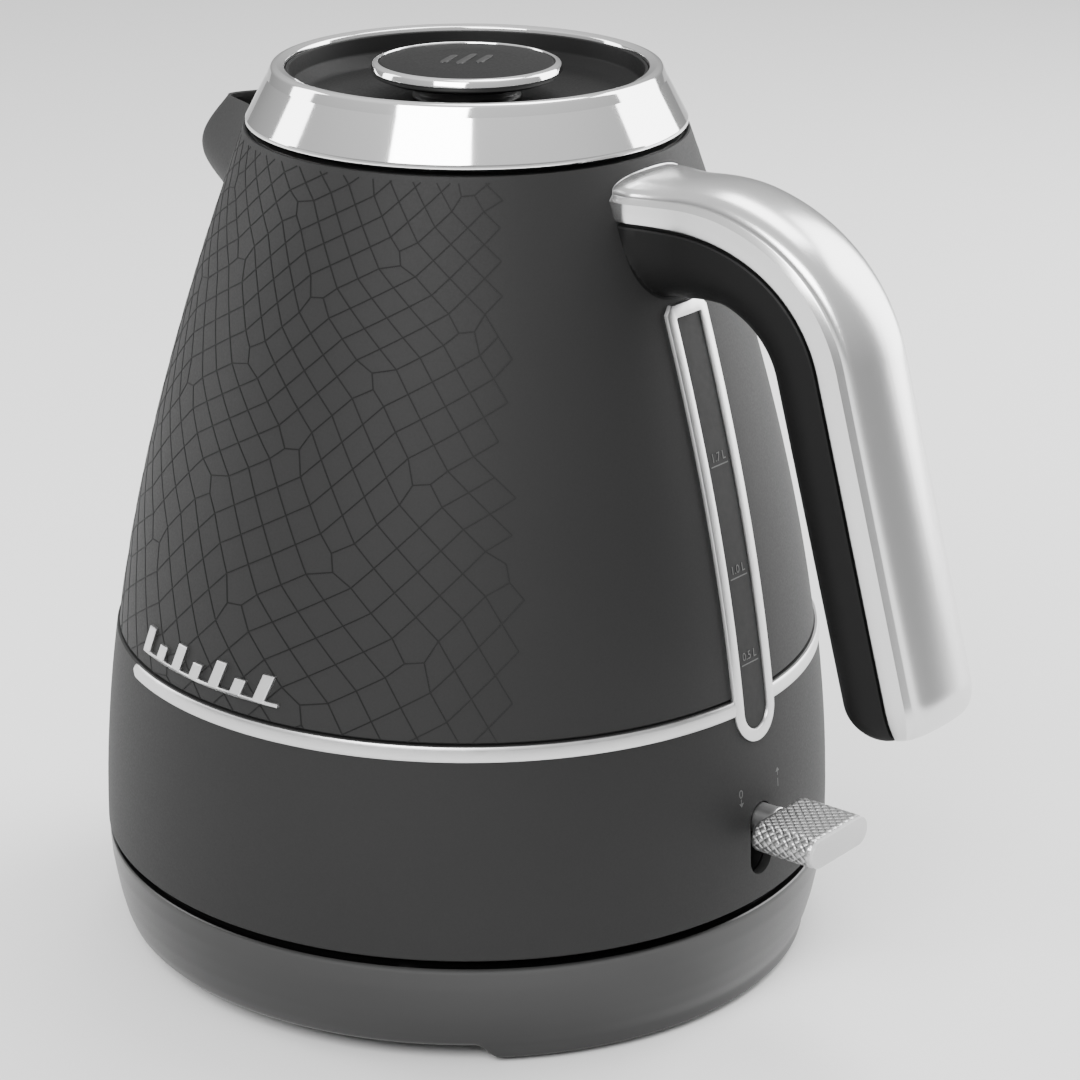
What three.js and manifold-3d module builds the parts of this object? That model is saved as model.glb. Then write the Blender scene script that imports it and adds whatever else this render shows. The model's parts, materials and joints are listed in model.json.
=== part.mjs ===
// An electric kettle on its power base, as an assembly of separate pieces.
// Millimetres, +Z up. The origin is on the kettle's axis, on the surface that the base stands on.
// The handle is on the +X side and the spout on the -X side. Angles are degrees from +X towards +Y.
import * as THREE from "three";
import { mergeVertices } from "three/addons/utils/BufferGeometryUtils.js";
import Module from "manifold-3d";

const wasm = await Module();
wasm.setup();

// ---------------------------------------------------------------- driving dimensions

const gap = 0.3; // between pieces that touch
const runningGap = 0.4; // between pieces that turn on each other

// Body
const bodyRadius = 99.4; // widest, at the body's lower edge
const neckRadius = 58.4; // at the body's top edge
const bodyTop = 223.5;
const bodyFullness = 0.29; // how far the flank swells beyond a parabola
const seamHeight = 88.7; // top of the lower shell, where the vessel shows
const seamStep = 0.5; // the vessel stands back this far at the seam
const housingWall = 2.5;
const vesselWall = 1.2;
const floorHeight = 78.7; // underside of the heater plate
const floorThickness = 1.2;

// Power base
const footHeight = 1.5; // the skirt's clearance under the handle
const skirtRise = 4; // how much higher the skirt's edge is elsewhere
const skirtTop = 29.3;
const skirtWall = 2.2;
const skirtTaper = 5; // how much narrower the skirt is at its lower edge
const skirtLip = 3.6; // height of the straight stretch at its lower edge
const tongueHalfAngle = 47.5; // the deep part of the skirt, either side of the handle
const baseGap = 2.4; // shadow gap between the skirt and the body
const plateThickness = 2.5;
const footRadius = 6;
const footCircle = 70;
const padRadius = 30;
const cordBore = 3.4; // radius of the hole in the gland
const glandWall = 1.6;
const glandFlange = 1.4; // how far its flange stands out round the hole
const cordHeight = 12; // its axis above the table

// Connector
const bossRadius = 13.6; // the base connector's upstanding boss
const bossTop = 41;
const connectorRadius = 20;
const connectorTop = 46;

// Handle
const handleRootDrop = 13.3; // parting line below the body's top edge, at the root
const handleStub = 11.6; // straight run out of the body
const handleBendOut = 44.6; // the bend, measured out
const handleBendDown = 28.9; // and down
const handleStraight = 92; // straight run below the bend
const handleLean = 16.1; // degrees from the vertical
const handleHalfWidth = 13.7;
const handleRootHalfWidth = 16.2;
const shellDepth = 13; // chrome shell outside the parting line
const gripDepth = 17; // grip inside it
const gripRootDepth = 20.8; // grip at the root
const handleWall = 2.2;
const coreHalfWidth = 5;
const coreTop = 3; // the core's outer face from the parting line
const coreDepth = 12;

// Water gauge
const gaugeHalfWidth = 8.4; // frame
const gaugeLine = 3.2; // width of the frame's line
const gaugeDrop = 12.6; // its lower end below the seam
const gaugeChamfer = 2.2;
const gaugeProud = 1.1; // frame thickness

// Trim band
const bandHeight = 3.8;
const bandEndAngle = 116.6;
const bandProud = 0.4;
const bandDepth = 1;

// Emblem
const emblemAngle = -97.2;
const emblemLength = 54;
const emblemHeight = 7.6;
const emblemRise = 4.8; // above the seam
const emblemBars = 7;
const emblemThickness = 0.8;

// Spout
const spoutNoseReach = 35.9; // furthest point beyond the neck
const spoutNoseDrop = 18.5; // its height below the body's top edge
const spoutLipReach = 25.1; // the pouring edge beyond the neck
const spoutLipDrop = 3.5;
const spoutFootDrop = 34.5; // where the beak leaves the body
const spoutHalfWidth = 21.5;
const spoutWall = 1.4;
const strainerHalfWidth = 13;
const strainerHeight = 18;

// Lid
const ringSeat = 1.4; // gap above the body's top edge
const ringRadius = 57.5; // lower edge of the lid ring
const ringTopRadius = 51.4;
const ringInnerRadius = 47;
const ringHeight = 14.9;
const dishDepth = 9.3; // dish floor below the ring's top
const knobRadius = 24.9;
const knobTop = 17.2; // above the body's top edge
const knobThickness = 4.7;
const stemRadius = 12.7;
const collarRadius = 53; // the lid's seat in the neck
const collarHeight = 9.5;
const plugWall = 2;

// Switch
const leverHeight = 54.6; // axis of the lever at rest, which is "on"
const leverSwing = 16; // degrees down to "off"
const slotSideGap = 0.8; // slot beside the lever
const slotEndGap = 0.4; // slot beyond the lever at both ends of its swing
const leverArm = 38; // from its pivot to the body's surface
const leverRadius = 4;
const paddleStart = 5.6; // paddle's inner face from the body's surface
const paddleLength = 17.7;
const paddleHalfWidth = 13;
const paddleThickness = 8.4;
const endCapThickness = 0.8;
const pinRadius = 1.5;
const hubRadius = 5.5;

// Facets of round pieces
const fine = 36;
const medium = 24;
const coarse = 10;

// ---------------------------------------------------------------- shared shapes

const radians = THREE.MathUtils.degToRad;
const bodyBottom = skirtTop + baseGap;
const skirtRadius = bodyRadius - 0.2;
const gaugeBottom = seamHeight - gaugeDrop;
const emblemBottom = seamHeight + emblemRise;
const spoutNose = neckRadius + spoutNoseReach;
const spoutNoseHeight = bodyTop - spoutNoseDrop;
const spoutLip = neckRadius + spoutLipReach;
const spoutLipHeight = bodyTop - spoutLipDrop;
const spoutFoot = bodyTop - spoutFootDrop;

// The outer radius of the body at a height.
function bodyAt(z) {
  const t = (z - bodyBottom) / (bodyTop - bodyBottom);
  return bodyRadius - (bodyRadius - neckRadius) * t * t * (1 + bodyFullness * (1 - t));
}

// The vessel's outer radius, and the radius inside its wall.
const vesselAt = (z) => bodyAt(z) - seamStep;
const vesselInsideAt = (z) => vesselAt(z) - vesselWall;

// Evenly spaced numbers from a to b.
const steps = (a, b, count) => Array.from({ length: count + 1 }, (_, i) => a + ((b - a) * i) / count);

// A three.js geometry as a manifold solid with its faces pointing out.
function solid(geometry) {
  const bare = geometry.clone();
  bare.deleteAttribute("normal");
  bare.deleteAttribute("uv");
  const merged = mergeVertices(bare, 1e-4);
  const position = merged.getAttribute("position");
  const corners = merged.index.array;
  const triangles = [];
  const [a, b, c] = [new THREE.Vector3(), new THREE.Vector3(), new THREE.Vector3()];
  let volume = 0;
  for (let i = 0; i < corners.length; i += 3) {
    const [p, q, r] = [corners[i], corners[i + 1], corners[i + 2]];
    if (p === q || q === r || r === p) continue;
    triangles.push(p, q, r);
    a.fromBufferAttribute(position, p);
    b.fromBufferAttribute(position, q);
    c.fromBufferAttribute(position, r);
    volume += a.dot(b.cross(c));
  }
  if (volume < 0) triangles.reverse();
  return new wasm.Manifold(
    new wasm.Mesh({
      numProp: 3,
      vertProperties: new Float32Array(position.array),
      triVerts: new Uint32Array(triangles),
    }),
  );
}

// A manifold solid as a three.js geometry.
function geometryOf(shape) {
  const mesh = shape.getMesh();
  const geometry = new THREE.BufferGeometry();
  geometry.setAttribute("position", new THREE.BufferAttribute(mesh.vertProperties, 3));
  geometry.setIndex(new THREE.BufferAttribute(mesh.triVerts, 1));
  geometry.computeVertexNormals();
  return geometry;
}

// A solid turned about the Z axis from a profile of [radius, height] points.
function turned(profile, segments = fine) {
  const points = profile.map(([r, z]) => new THREE.Vector2(r, z));
  const closed = profile[0][0] === 0 && profile.at(-1)[0] === 0;
  if (!closed) points.push(points[0].clone());
  return solid(new THREE.LatheGeometry(points, segments).rotateX(Math.PI / 2));
}

const cylinder = (radius, z0, z1, segments = coarse) =>
  turned([[0, z0], [radius, z0], [radius, z1], [0, z1]], segments);

const tube = (inner, outer, z0, z1, segments = fine) =>
  turned([[inner, z0], [outer, z0], [outer, z1], [inner, z1]], segments);

// A box from its lowest to its highest corner.
function box([x0, y0, z0], [x1, y1, z1]) {
  const geometry = new THREE.BoxGeometry(x1 - x0, y1 - y0, z1 - z0);
  return solid(geometry.translate((x0 + x1) / 2, (y0 + y1) / 2, (z0 + z1) / 2));
}

// A profile of [radius, height] points swept about Z between two angles, closed at both ends.
function swept(profile, from, to, count) {
  const rings = steps(radians(from), radians(to), count).map((angle) =>
    profile.map(([r, z]) => new THREE.Vector3(r * Math.cos(angle), r * Math.sin(angle), z)),
  );
  return lofted(rings);
}

// A solid through rings of points, each ring a convex outline, closed by a fan at both ends.
function lofted(rings) {
  const size = rings[0].length;
  const triangles = [];
  rings.slice(1).forEach((_, ring) => {
    for (let i = 0; i < size; i += 1) {
      const [low, high] = [ring * size, (ring + 1) * size];
      const next = (i + 1) % size;
      triangles.push(low + i, low + next, high + next, low + i, high + next, high + i);
    }
  });
  const last = (rings.length - 1) * size;
  for (let i = 1; i < size - 1; i += 1) {
    triangles.push(0, i + 1, i, last, last + i, last + i + 1);
  }
  const geometry = new THREE.BufferGeometry().setFromPoints(rings.flat());
  return solid(geometry.setIndex(triangles));
}

// An outline of [y, z] points pushed through the wall on the +X side, then turned to an angle.
function pushedThroughWall(outline, angle = 0, near = neckRadius / 3) {
  const shape = outline instanceof THREE.Shape ? outline : polygon(outline);
  const depth = bodyRadius * 1.3 - near;
  const geometry = new THREE.ExtrudeGeometry(shape, { depth, bevelEnabled: false, curveSegments: 6 });
  geometry.applyMatrix4(new THREE.Matrix4().makeBasis(
    new THREE.Vector3(0, 1, 0),
    new THREE.Vector3(0, 0, 1),
    new THREE.Vector3(1, 0, 0),
  ));
  return solid(geometry.translate(near, 0, 0).rotateZ(radians(angle)));
}

const polygon = (outline) => new THREE.Shape(outline.map(([y, z]) => new THREE.Vector2(y, z)));

// A layer that follows the body between two heights, from one depth to another outside the vessel.
function layer(z0, z1, inner, outer, count = 5) {
  const heights = steps(z0, z1, count);
  const face = (offset) => heights.map((z) => [vesselAt(z) + offset, z]);
  return turned([...face(outer), ...face(inner).reverse()]);
}

// Everything inside the body's outer face, grown by a distance.
function bodyEnvelope(grow) {
  const heights = steps(seamHeight, bodyTop, 6);
  return turned([[0, seamHeight], ...heights.map((z) => [vesselAt(z) + grow, z]), [0, bodyTop]]);
}

// Turns a piece made along +Z to lie along +X, its start at x and its axis at height z.
const alongX = (shape, x, z) => shape.rotate([0, 90, 0]).translate([x, 0, z]);

// A pan-head screw, its head down and its shank up the Z axis from the origin.
function screw(headRadius, headHeight, shankRadius, length) {
  const profile = [
    [0, -headHeight],
    [headRadius, -headHeight],
    [headRadius, 0],
    [shankRadius, 0],
    [shankRadius, length],
    [0, length],
  ];
  return turned(profile, coarse);
}

// ---------------------------------------------------------------- materials

const finish = (color, roughness, metalness) =>
  new THREE.MeshStandardMaterial({ color, roughness, metalness });
const charcoal = finish(0x47474a, 0.62, 0);
const blackPlastic = finish(0x1b1b1d, 0.5, 0);
const chrome = finish(0xd9dadb, 0.1, 1);
const satinChrome = finish(0xb9babb, 0.3, 1);
const skirtMetal = finish(0x8f9092, 0.35, 1);
const steel = finish(0xa9abac, 0.4, 1);
const aluminium = finish(0xc3c5c7, 0.45, 1);
const brass = finish(0xb98f4a, 0.35, 1);
const rubber = finish(0x242425, 0.9, 0);
const silicone = finish(0xb8b6b0, 0.7, 0);
const smoked = finish(0x3a3b3e, 0.2, 0);

const kettleOnBase = new THREE.Group();
const [powerBase, connector, kettle, lever, lid] = [0, 1, 2, 3, 4].map(() => new THREE.Group());
kettleOnBase.add(powerBase, connector, kettle, lever, lid);

function add(group, name, shape, material) {
  const mesh = new THREE.Mesh(geometryOf(shape), material);
  mesh.name = name;
  group.add(mesh);
  return mesh;
}

// ---------------------------------------------------------------- power base

const bottomPlateZ = footHeight + skirtRise - 0.5;
const bottomPlateThickness = 2;
const topPlateTop = skirtTop - 0.8;
const topPlateBottom = topPlateTop - plateThickness;
const postCircle = 52;
const postRadius = 5;
const shank = 1.5; // radius of the small screws
const connectorShoulder = connectorRadius - 0.6;
const grooveBottom = bossTop - 8;
const skirtAt = (z) => {
  const straight = footHeight + skirtLip;
  const u = Math.max(0, (z - straight) / (skirtTop - straight));
  return skirtRadius - skirtTaper * (1 - u) ** 2.3;
};

function makeSkirt() {
  const curve = steps(footHeight + skirtLip, skirtTop - 0.8, 4);
  const outer = [
    [skirtAt(0), footHeight],
    ...curve.map((z) => [skirtAt(z), z]),
    [skirtRadius - 0.3, skirtTop],
  ];
  const inner = [skirtTop, curve[3], curve[1], footHeight].map((z) => [skirtAt(z) - skirtWall, z]);
  const tongueX = skirtAt(0) * Math.cos(radians(tongueHalfAngle));
  const raisedEdge = footHeight + skirtRise;
  const reach = bodyRadius * 2;
  const outline = polygon([
    [-reach, -1],
    [tongueX + skirtRise / 2, -1],
    [tongueX + skirtRise / 2, footHeight],
    [tongueX - skirtRise / 2, raisedEdge],
    [-reach, raisedEdge],
  ]);
  const geometry = new THREE.ExtrudeGeometry(outline, { depth: 2 * reach, bevelEnabled: false });
  const raised = solid(geometry.rotateX(Math.PI / 2).translate(0, reach, 0));
  const cordHole = alongX(cylinder(cordBore + glandWall + gap, 0, reach, coarse), -reach, cordHeight);
  return turned([...outer, ...inner]).subtract(raised).subtract(cordHole);
}

// The gland's flange lies outside the skirt and its sleeve runs in through it.
function makeGland() {
  const sleeve = cordBore + glandWall;
  const outside = skirtAt(cordHeight + sleeve + glandFlange) + gap;
  const profile = [
    [cordBore, -outside - 2.5],
    [sleeve + glandFlange / 2, -outside - 2.5],
    [sleeve + glandFlange, -outside],
    [sleeve, -outside],
    [sleeve, -outside + 12],
    [cordBore, -outside + 12],
  ];
  return alongX(turned(profile, coarse), 0, cordHeight);
}

const around = (count, radius, start = 0) =>
  steps(start, start + 360, count)
    .slice(0, count)
    .map((angle) => [radius * Math.cos(radians(angle)), radius * Math.sin(radians(angle)), angle]);

const posts = around(3, postCircle, 30);

function makeTopPlate() {
  const hole = connectorShoulder + gap;
  const radius = skirtAt(topPlateBottom) - skirtWall - gap;
  const disc = tube(hole, radius, topPlateBottom, topPlateTop);
  const foot = bottomPlateZ + bottomPlateThickness + gap;
  return posts.reduce((plate, [x, y]) => {
    const post = tube(shank + gap, postRadius, foot, topPlateTop - 1, coarse);
    return plate.add(post.translate([x, y, 0]));
  }, disc);
}

function makeBottomPlate() {
  const radius = skirtAt(0) - skirtWall - gap;
  const profile = [
    [0, footHeight],
    [padRadius + 2, footHeight],
    [padRadius + 2, bottomPlateZ],
    [radius, bottomPlateZ],
    [radius, bottomPlateZ + bottomPlateThickness],
    [0, bottomPlateZ + bottomPlateThickness],
  ];
  return posts.reduce((plate, [x, y]) => {
    const hole = cylinder(shank + gap, 0, bottomPlateZ + 2 * bottomPlateThickness);
    return plate.subtract(hole.translate([x, y, 0]));
  }, turned(profile, medium));
}

function makeBaseConnector() {
  const flangeTop = topPlateBottom - gap;
  return turned([
    [0, flangeTop - 3],
    [connectorShoulder + 6, flangeTop - 3],
    [connectorShoulder + 6, flangeTop],
    [connectorShoulder, flangeTop],
    [connectorShoulder, topPlateTop + 1.4],
    [bossRadius, topPlateTop + 1.4],
    [bossRadius, bossTop],
    [9, bossTop],
    [9, grooveBottom],
    [6.2, grooveBottom],
    [6.2, bossTop],
    [3.2, bossTop],
    [3.2, topPlateTop],
    [0, topPlateTop],
  ], medium);
}

add(powerBase, "base_skirt", makeSkirt(), skirtMetal);
add(powerBase, "base_top_plate", makeTopPlate(), blackPlastic);
add(powerBase, "base_bottom_plate", makeBottomPlate(), blackPlastic);
add(powerBase, "centre_pad", cylinder(padRadius, 0, footHeight - gap, medium), rubber);
around(4, footCircle, 45).forEach(([x, y], i) => {
  const top = bottomPlateZ - gap;
  const foot = turned([[0, 0], [footRadius - 0.8, 0], [footRadius, 1], [footRadius, top], [0, top]], coarse);
  add(powerBase, `foot_${i + 1}`, foot, rubber).position.set(x, y, 0);
});
posts.forEach(([x, y], i) => {
  const shape = screw(3.2, 1.4, shank, topPlateBottom - bottomPlateZ - 2);
  add(powerBase, `base_screw_${i + 1}`, shape, steel).position.set(x, y, bottomPlateZ - gap);
});
add(powerBase, "base_connector_body", makeBaseConnector(), blackPlastic);
add(powerBase, "contact_ring", tube(6.2 + gap, 9 - gap, grooveBottom + gap, bossTop - 1, medium), brass);
add(powerBase, "contact_pin", cylinder(3.2 - gap, topPlateTop + gap, bossTop + 1.2), brass);
add(powerBase, "cord_gland", makeGland(), rubber);

// ---------------------------------------------------------------- connector's upper half

const kettleConnector = turned([
  [bossRadius + runningGap, bodyBottom - 0.2],
  [connectorRadius, bodyBottom - 0.2],
  [connectorRadius, connectorTop],
  [0, connectorTop],
  [0, bossTop + 2],
  [bossRadius + runningGap, bossTop + 2],
], medium);
add(connector, "kettle_connector", kettleConnector, blackPlastic);

// ---------------------------------------------------------------- vessel and lower shell

const stepRadius = bodyAt(seamHeight) - housingWall - 0.5;
const vesselFoot = floorHeight - 4.7;
const flangeWidth = 4.4;
const gaugeTop = bodyTop - handleRootDrop - gripRootDepth - 0.9;
const windowHalfWidth = gaugeHalfWidth - gaugeLine - gap;

// The frame's outline, round at its foot and chamfered at its head, grown by a distance.
function gaugeOutline(halfWidth, bottom, top, chamfer) {
  const shape = new THREE.Shape();
  shape.moveTo(halfWidth, bottom + halfWidth);
  shape.lineTo(halfWidth, top - chamfer);
  shape.lineTo(halfWidth - chamfer, top);
  shape.lineTo(chamfer - halfWidth, top);
  shape.lineTo(-halfWidth, top - chamfer);
  shape.lineTo(-halfWidth, bottom + halfWidth);
  shape.absarc(0, bottom + halfWidth, halfWidth, Math.PI, 2 * Math.PI, false);
  return shape;
}

const frameOutline = (grow) =>
  gaugeOutline(gaugeHalfWidth + grow, gaugeBottom - grow, gaugeTop + grow, gaugeChamfer);
const windowOutline = (grow) =>
  gaugeOutline(windowHalfWidth + grow, gaugeBottom + gaugeLine + gap - grow, gaugeTop - gaugeLine + grow, 0.2);

const vesselLip = seamHeight + gap;
function makeVessel() {
  const heights = steps(vesselLip, bodyTop, 6);
  const outer = heights.map((z) => [vesselAt(z), z]);
  const inner = steps(vesselLip + vesselWall, bodyTop, 6).map((z) => [vesselInsideAt(z), z]);
  const shell = turned([
    [stepRadius - flangeWidth, vesselFoot],
    [stepRadius, vesselFoot],
    [stepRadius, vesselLip],
    ...outer,
    ...inner.reverse(),
    [stepRadius - vesselWall, vesselLip + vesselWall],
    [stepRadius - vesselWall, vesselFoot + vesselWall],
    [stepRadius - flangeWidth, vesselFoot + vesselWall],
  ]);
  const windowSlot = pushedThroughWall(windowOutline(gap)).subtract(
    box([0, -20, 0], [stepRadius + 0.1, 20, vesselLip + vesselWall + 0.5]),
  );
  return shell.subtract(windowSlot).subtract(strainerOpening(0));
}

const shellPostCircle = bodyRadius - housingWall - 4;
const shellPosts = around(3, shellPostCircle, 60);
const coverThickness = 2;
const shellPostRadius = 4.6;
function makeLowerShell() {
  const heights = steps(bodyBottom, seamHeight, 3);
  const outer = heights.map((z) => [bodyAt(z), z]);
  const inner = heights.map((z) => [bodyAt(z) - housingWall, z]).reverse();
  const grooves = trimBand(1, gap).add(trimBand(-1, gap));
  const shell = turned([...outer, ...inner]).subtract(grooves);
  const slot = new THREE.Shape();
  const half = leverRadius + slotSideGap;
  const swing = radians(leverSwing);
  const slotTop = leverHeight + leverRadius + slotEndGap;
  const lowest = leverHeight - (leverArm + 1) * Math.tan(swing) - leverRadius / Math.cos(swing);
  slot.absarc(0, slotTop - half, half, 0, Math.PI, false);
  slot.absarc(0, lowest - slotEndGap + half, half, Math.PI, 2 * Math.PI, false);
  const posted = shellPosts.reduce((piece, [x, y]) => {
    const foot = bodyBottom + coverThickness + gap;
    const post = tube(1.5 + gap, shellPostRadius, foot, foot + 14, coarse);
    return piece.add(post.translate([x, y, 0]));
  }, shell);
  return posted.subtract(pushedThroughWall(slot)).subtract(pushedThroughWall(frameOutline(gap)));
}

function makeBottomCover() {
  const top = bodyBottom + coverThickness;
  const rest = topPlateTop + gap;
  const ribs = [60, 64];
  const profile = [
    [connectorRadius + runningGap, bodyBottom],
    [ribs[0], bodyBottom],
    [ribs[0], rest],
    [ribs[1], rest],
    [ribs[1], bodyBottom],
    [bodyAt(top) - housingWall - gap, bodyBottom],
    [bodyAt(top) - housingWall - gap, top],
    [connectorRadius + runningGap, top],
  ];
  return shellPosts.reduce((cover, [x, y]) => {
    const hole = cylinder(1.5 + gap, 0, top + 1);
    return cover.subtract(hole.translate([x, y, 0]));
  }, turned(profile));
}

// The trim band on one side, from the gauge's frame round to its end, grown by a distance.
function trimBand(side, grow = 0) {
  const [z0, z1] = [seamHeight - bandHeight - grow, seamHeight - 0.1 + grow];
  const profile = [
    [bodyAt(seamHeight) - bandDepth + gap - grow, z0],
    [bodyAt(z0) + bandProud, z0],
    [bodyAt(z1) + bandProud, z1],
    [bodyAt(seamHeight) - bandDepth + gap - grow, z1],
  ];
  const degrees = (length) => THREE.MathUtils.radToDeg(length / bodyAt(z0));
  const start = degrees(gaugeHalfWidth + gap) + 0.2;
  return swept(profile, side * (start - degrees(grow)), side * (bandEndAngle + degrees(grow)), 12);
}

// A small ornament: slanted bars standing on a thin line.
function makeEmblem() {
  const pitch = emblemLength / emblemBars;
  const slant = emblemHeight / 3;
  const line = [
    [0, emblemBottom],
    [emblemLength, emblemBottom],
    [emblemLength, emblemBottom + 1.2],
    [0, emblemBottom + 1.2],
  ];
  const bars = steps(0, emblemLength - pitch, emblemBars - 1).map((y, i) => {
    const height = emblemHeight * (i % 2 ? 0.62 : 1);
    const width = pitch * 0.45;
    return [
      [y, emblemBottom + 0.5],
      [y + width, emblemBottom + 0.5],
      [y + width + (slant * height) / emblemHeight, emblemBottom + height],
      [y + (slant * height) / emblemHeight, emblemBottom + height],
    ];
  });
  const centred = (outline) => outline.map(([y, z]) => [y - emblemLength / 2, z]);
  const flat = [line, ...bars].map((outline) => pushedThroughWall(centred(outline), emblemAngle));
  const skin = layer(emblemBottom - 3, emblemBottom + emblemHeight + 3, gap, gap + emblemThickness, 3);
  return flat.reduce((sum, bar) => sum.add(bar)).intersect(skin);
}

function gaugePieces() {
  const frame = pushedThroughWall(frameOutline(0)).subtract(pushedThroughWall(windowOutline(gap)));
  const whole = [gaugeBottom - 2, gaugeTop + 2];
  const sealOutline = (halfWidth, end) =>
    gaugeOutline(halfWidth, vesselLip + vesselWall + 1 + end, gaugeTop - end, 1);
  const seal = pushedThroughWall(sealOutline(gaugeHalfWidth, 0)).subtract(
    pushedThroughWall(sealOutline(windowHalfWidth - 1, 5)),
  );
  return {
    frame: frame.intersect(layer(...whole, gap, gap + gaugeProud)),
    window: pushedThroughWall(windowOutline(0)).intersect(layer(...whole, gap - 1.8, gap + 0.5)),
    seal: seal.intersect(layer(...whole, -vesselWall - 2 * gap - 1.5, -vesselWall - 2 * gap)),
  };
}

// ---------------------------------------------------------------- spout and neck

// The beak's furthest point from the axis at a height: out from the body to the nose, back to the lip.
function noseAt(z) {
  const below = z < spoutNoseHeight;
  const end = below ? spoutFoot : spoutLipHeight;
  const endReach = below ? bodyAt(spoutFoot) - 1 : spoutLip;
  const t = THREE.MathUtils.clamp((z - spoutNoseHeight) / (end - spoutNoseHeight), 0, 1.3);
  return spoutNose - (spoutNose - endReach) * t ** 2;
}

// Half the beak's width where it leaves the body.
function beakHalfWidthAt(z) {
  const t = THREE.MathUtils.clamp((z - spoutFoot) / (spoutNoseHeight - spoutFoot), 0, 1);
  return spoutHalfWidth * Math.sqrt(0.08 + 0.92 * t * (2 - t));
}

// The beak as a solid: at each height a V with a rounded point, closed inside the body.
function beak(inset, z0, z1) {
  const rounding = 0.16;
  const rise = (t) => (Math.hypot(t, rounding) - rounding) / (Math.hypot(1, rounding) - rounding);
  const rings = steps(z0, z1, 8).map((z) => {
    const half = beakHalfWidthAt(z) - inset;
    const tip = noseAt(z) - inset * 1.3;
    const root = Math.sqrt(vesselAt(z) ** 2 - half ** 2) - 2;
    const front = steps(-1, 1, 8).map((t) => {
      const x = -(tip - (tip - root) * rise(t));
      return new THREE.Vector3(x, half * t, z);
    });
    const back = [half, -half].map((y) => new THREE.Vector3(-neckRadius * 0.8, y, z));
    return [...front, ...back];
  });
  return lofted(rings);
}

const strainerBottom = spoutFoot + 9;
const strainerTop = strainerBottom + strainerHeight;
function strainerOpening(grow) {
  const outline = [
    [-strainerHalfWidth - grow, strainerBottom - grow],
    [strainerHalfWidth + grow, strainerBottom - grow],
    [strainerHalfWidth + grow, strainerTop + grow],
    [-strainerHalfWidth - grow, strainerTop + grow],
  ];
  return pushedThroughWall(outline, 180);
}

function makeSpout() {
  const top = spoutLipHeight + 2;
  const outside = beak(0, spoutFoot - 1, top);
  const channel = beak(spoutWall, spoutFoot + 3, top + 4);
  // The rim rises from the lip to the body.
  const rim = polygon([
    [-spoutLip - 20, spoutLipHeight - 2],
    [-spoutLip, spoutLipHeight],
    [-neckRadius, top + 1],
    [-neckRadius, top + 9],
    [-spoutLip - 20, top + 9],
  ]);
  const depth = 4 * spoutHalfWidth;
  const geometry = new THREE.ExtrudeGeometry(rim, { depth, bevelEnabled: false });
  const above = solid(geometry.rotateX(Math.PI / 2).translate(0, depth / 2, 0));
  return outside.subtract(channel).subtract(above).subtract(bodyEnvelope(gap));
}

function makeStrainer() {
  const skin = layer(strainerBottom - 4, strainerTop + 2, -vesselWall - gap - 1.5, -vesselWall - gap, 4);
  const slotHalf = 1.1;
  const slots = steps(-strainerHalfWidth + 3, strainerHalfWidth - 3, 4).map((y) =>
    pushedThroughWall([
      [y - slotHalf, strainerBottom + 2],
      [y + slotHalf, strainerBottom + 2],
      [y + slotHalf, strainerTop - 3],
      [y - slotHalf, strainerTop - 3],
    ], 180),
  );
  return slots.reduce((piece, slot) => piece.subtract(slot), strainerOpening(1.5).intersect(skin));
}

function makeCollar() {
  const bottom = bodyTop - collarHeight;
  const top = bodyTop - gap;
  const profile = [
    [collarRadius, bottom],
    [vesselInsideAt(bottom) - gap, bottom],
    [vesselInsideAt(top) - gap, top],
    [collarRadius, top],
  ];
  return turned(profile).subtract(strainerOpening(1.5 + gap));
}

// ---------------------------------------------------------------- handle

const rootZ = bodyTop - handleRootDrop;
const rootX = bodyAt(rootZ);
const rootInside = 12; // the path starts this far inside the body
const lean = radians(handleLean);
const down = new THREE.Vector3(Math.sin(lean), 0, -Math.cos(lean));

// The parting line between the chrome shell and the grip, in the XZ plane.
function handlePath() {
  const inside = new THREE.Vector3(rootX - rootInside, 0, rootZ + 0.3);
  const bendStart = new THREE.Vector3(rootX + handleStub, 0, rootZ - 0.3);
  const bendEnd = bendStart.clone().add(new THREE.Vector3(handleBendOut, 0, -handleBendDown));
  const end = bendEnd.clone().addScaledVector(down, handleStraight);
  const path = new THREE.CurvePath();
  path.add(new THREE.LineCurve3(inside, bendStart));
  path.add(new THREE.CubicBezierCurve3(
    bendStart,
    bendStart.clone().add(new THREE.Vector3(handleBendOut * 0.52, 0, 0)),
    bendEnd.clone().addScaledVector(down, -handleBendDown * 0.62),
    bendEnd,
  ));
  path.add(new THREE.LineCurve3(bendEnd, end));
  return path;
}

const path = handlePath();
const screwHead = 3;
const screwSeat = 1.2; // how deep the handle's root screw is sunk
const endScrewDepth = 5; // and the one in its free end
const pathLength = path.getLength();
const stubLength = path.curves[0].getLength();
const bendLength = path.curves[1].getLength();
const endRounding = 7;
const hollowEnd = pathLength - handleWall - endRounding;
const coreEnd = hollowEnd - 12;

// Stations along the path: few on the straights, more round the bend and the rounded end.
function stations(from, to) {
  const bend = steps(stubLength, stubLength + bendLength, 6);
  const ends = [0, 0.45, 0.8, 1].map((share) => to - endRounding * (1 - share));
  return [from, from + 6, ...bend, ...ends].filter((s, i, all) => i === 0 || s > all[i - 1] + 0.5);
}

// How much of the full section is left near the free end, as a quarter of an ellipse.
function endShare(s, end) {
  const left = THREE.MathUtils.clamp((end - s) / endRounding, 0, 1);
  return 0.45 + 0.55 * Math.sqrt(1 - (1 - left) ** 2);
}

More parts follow.
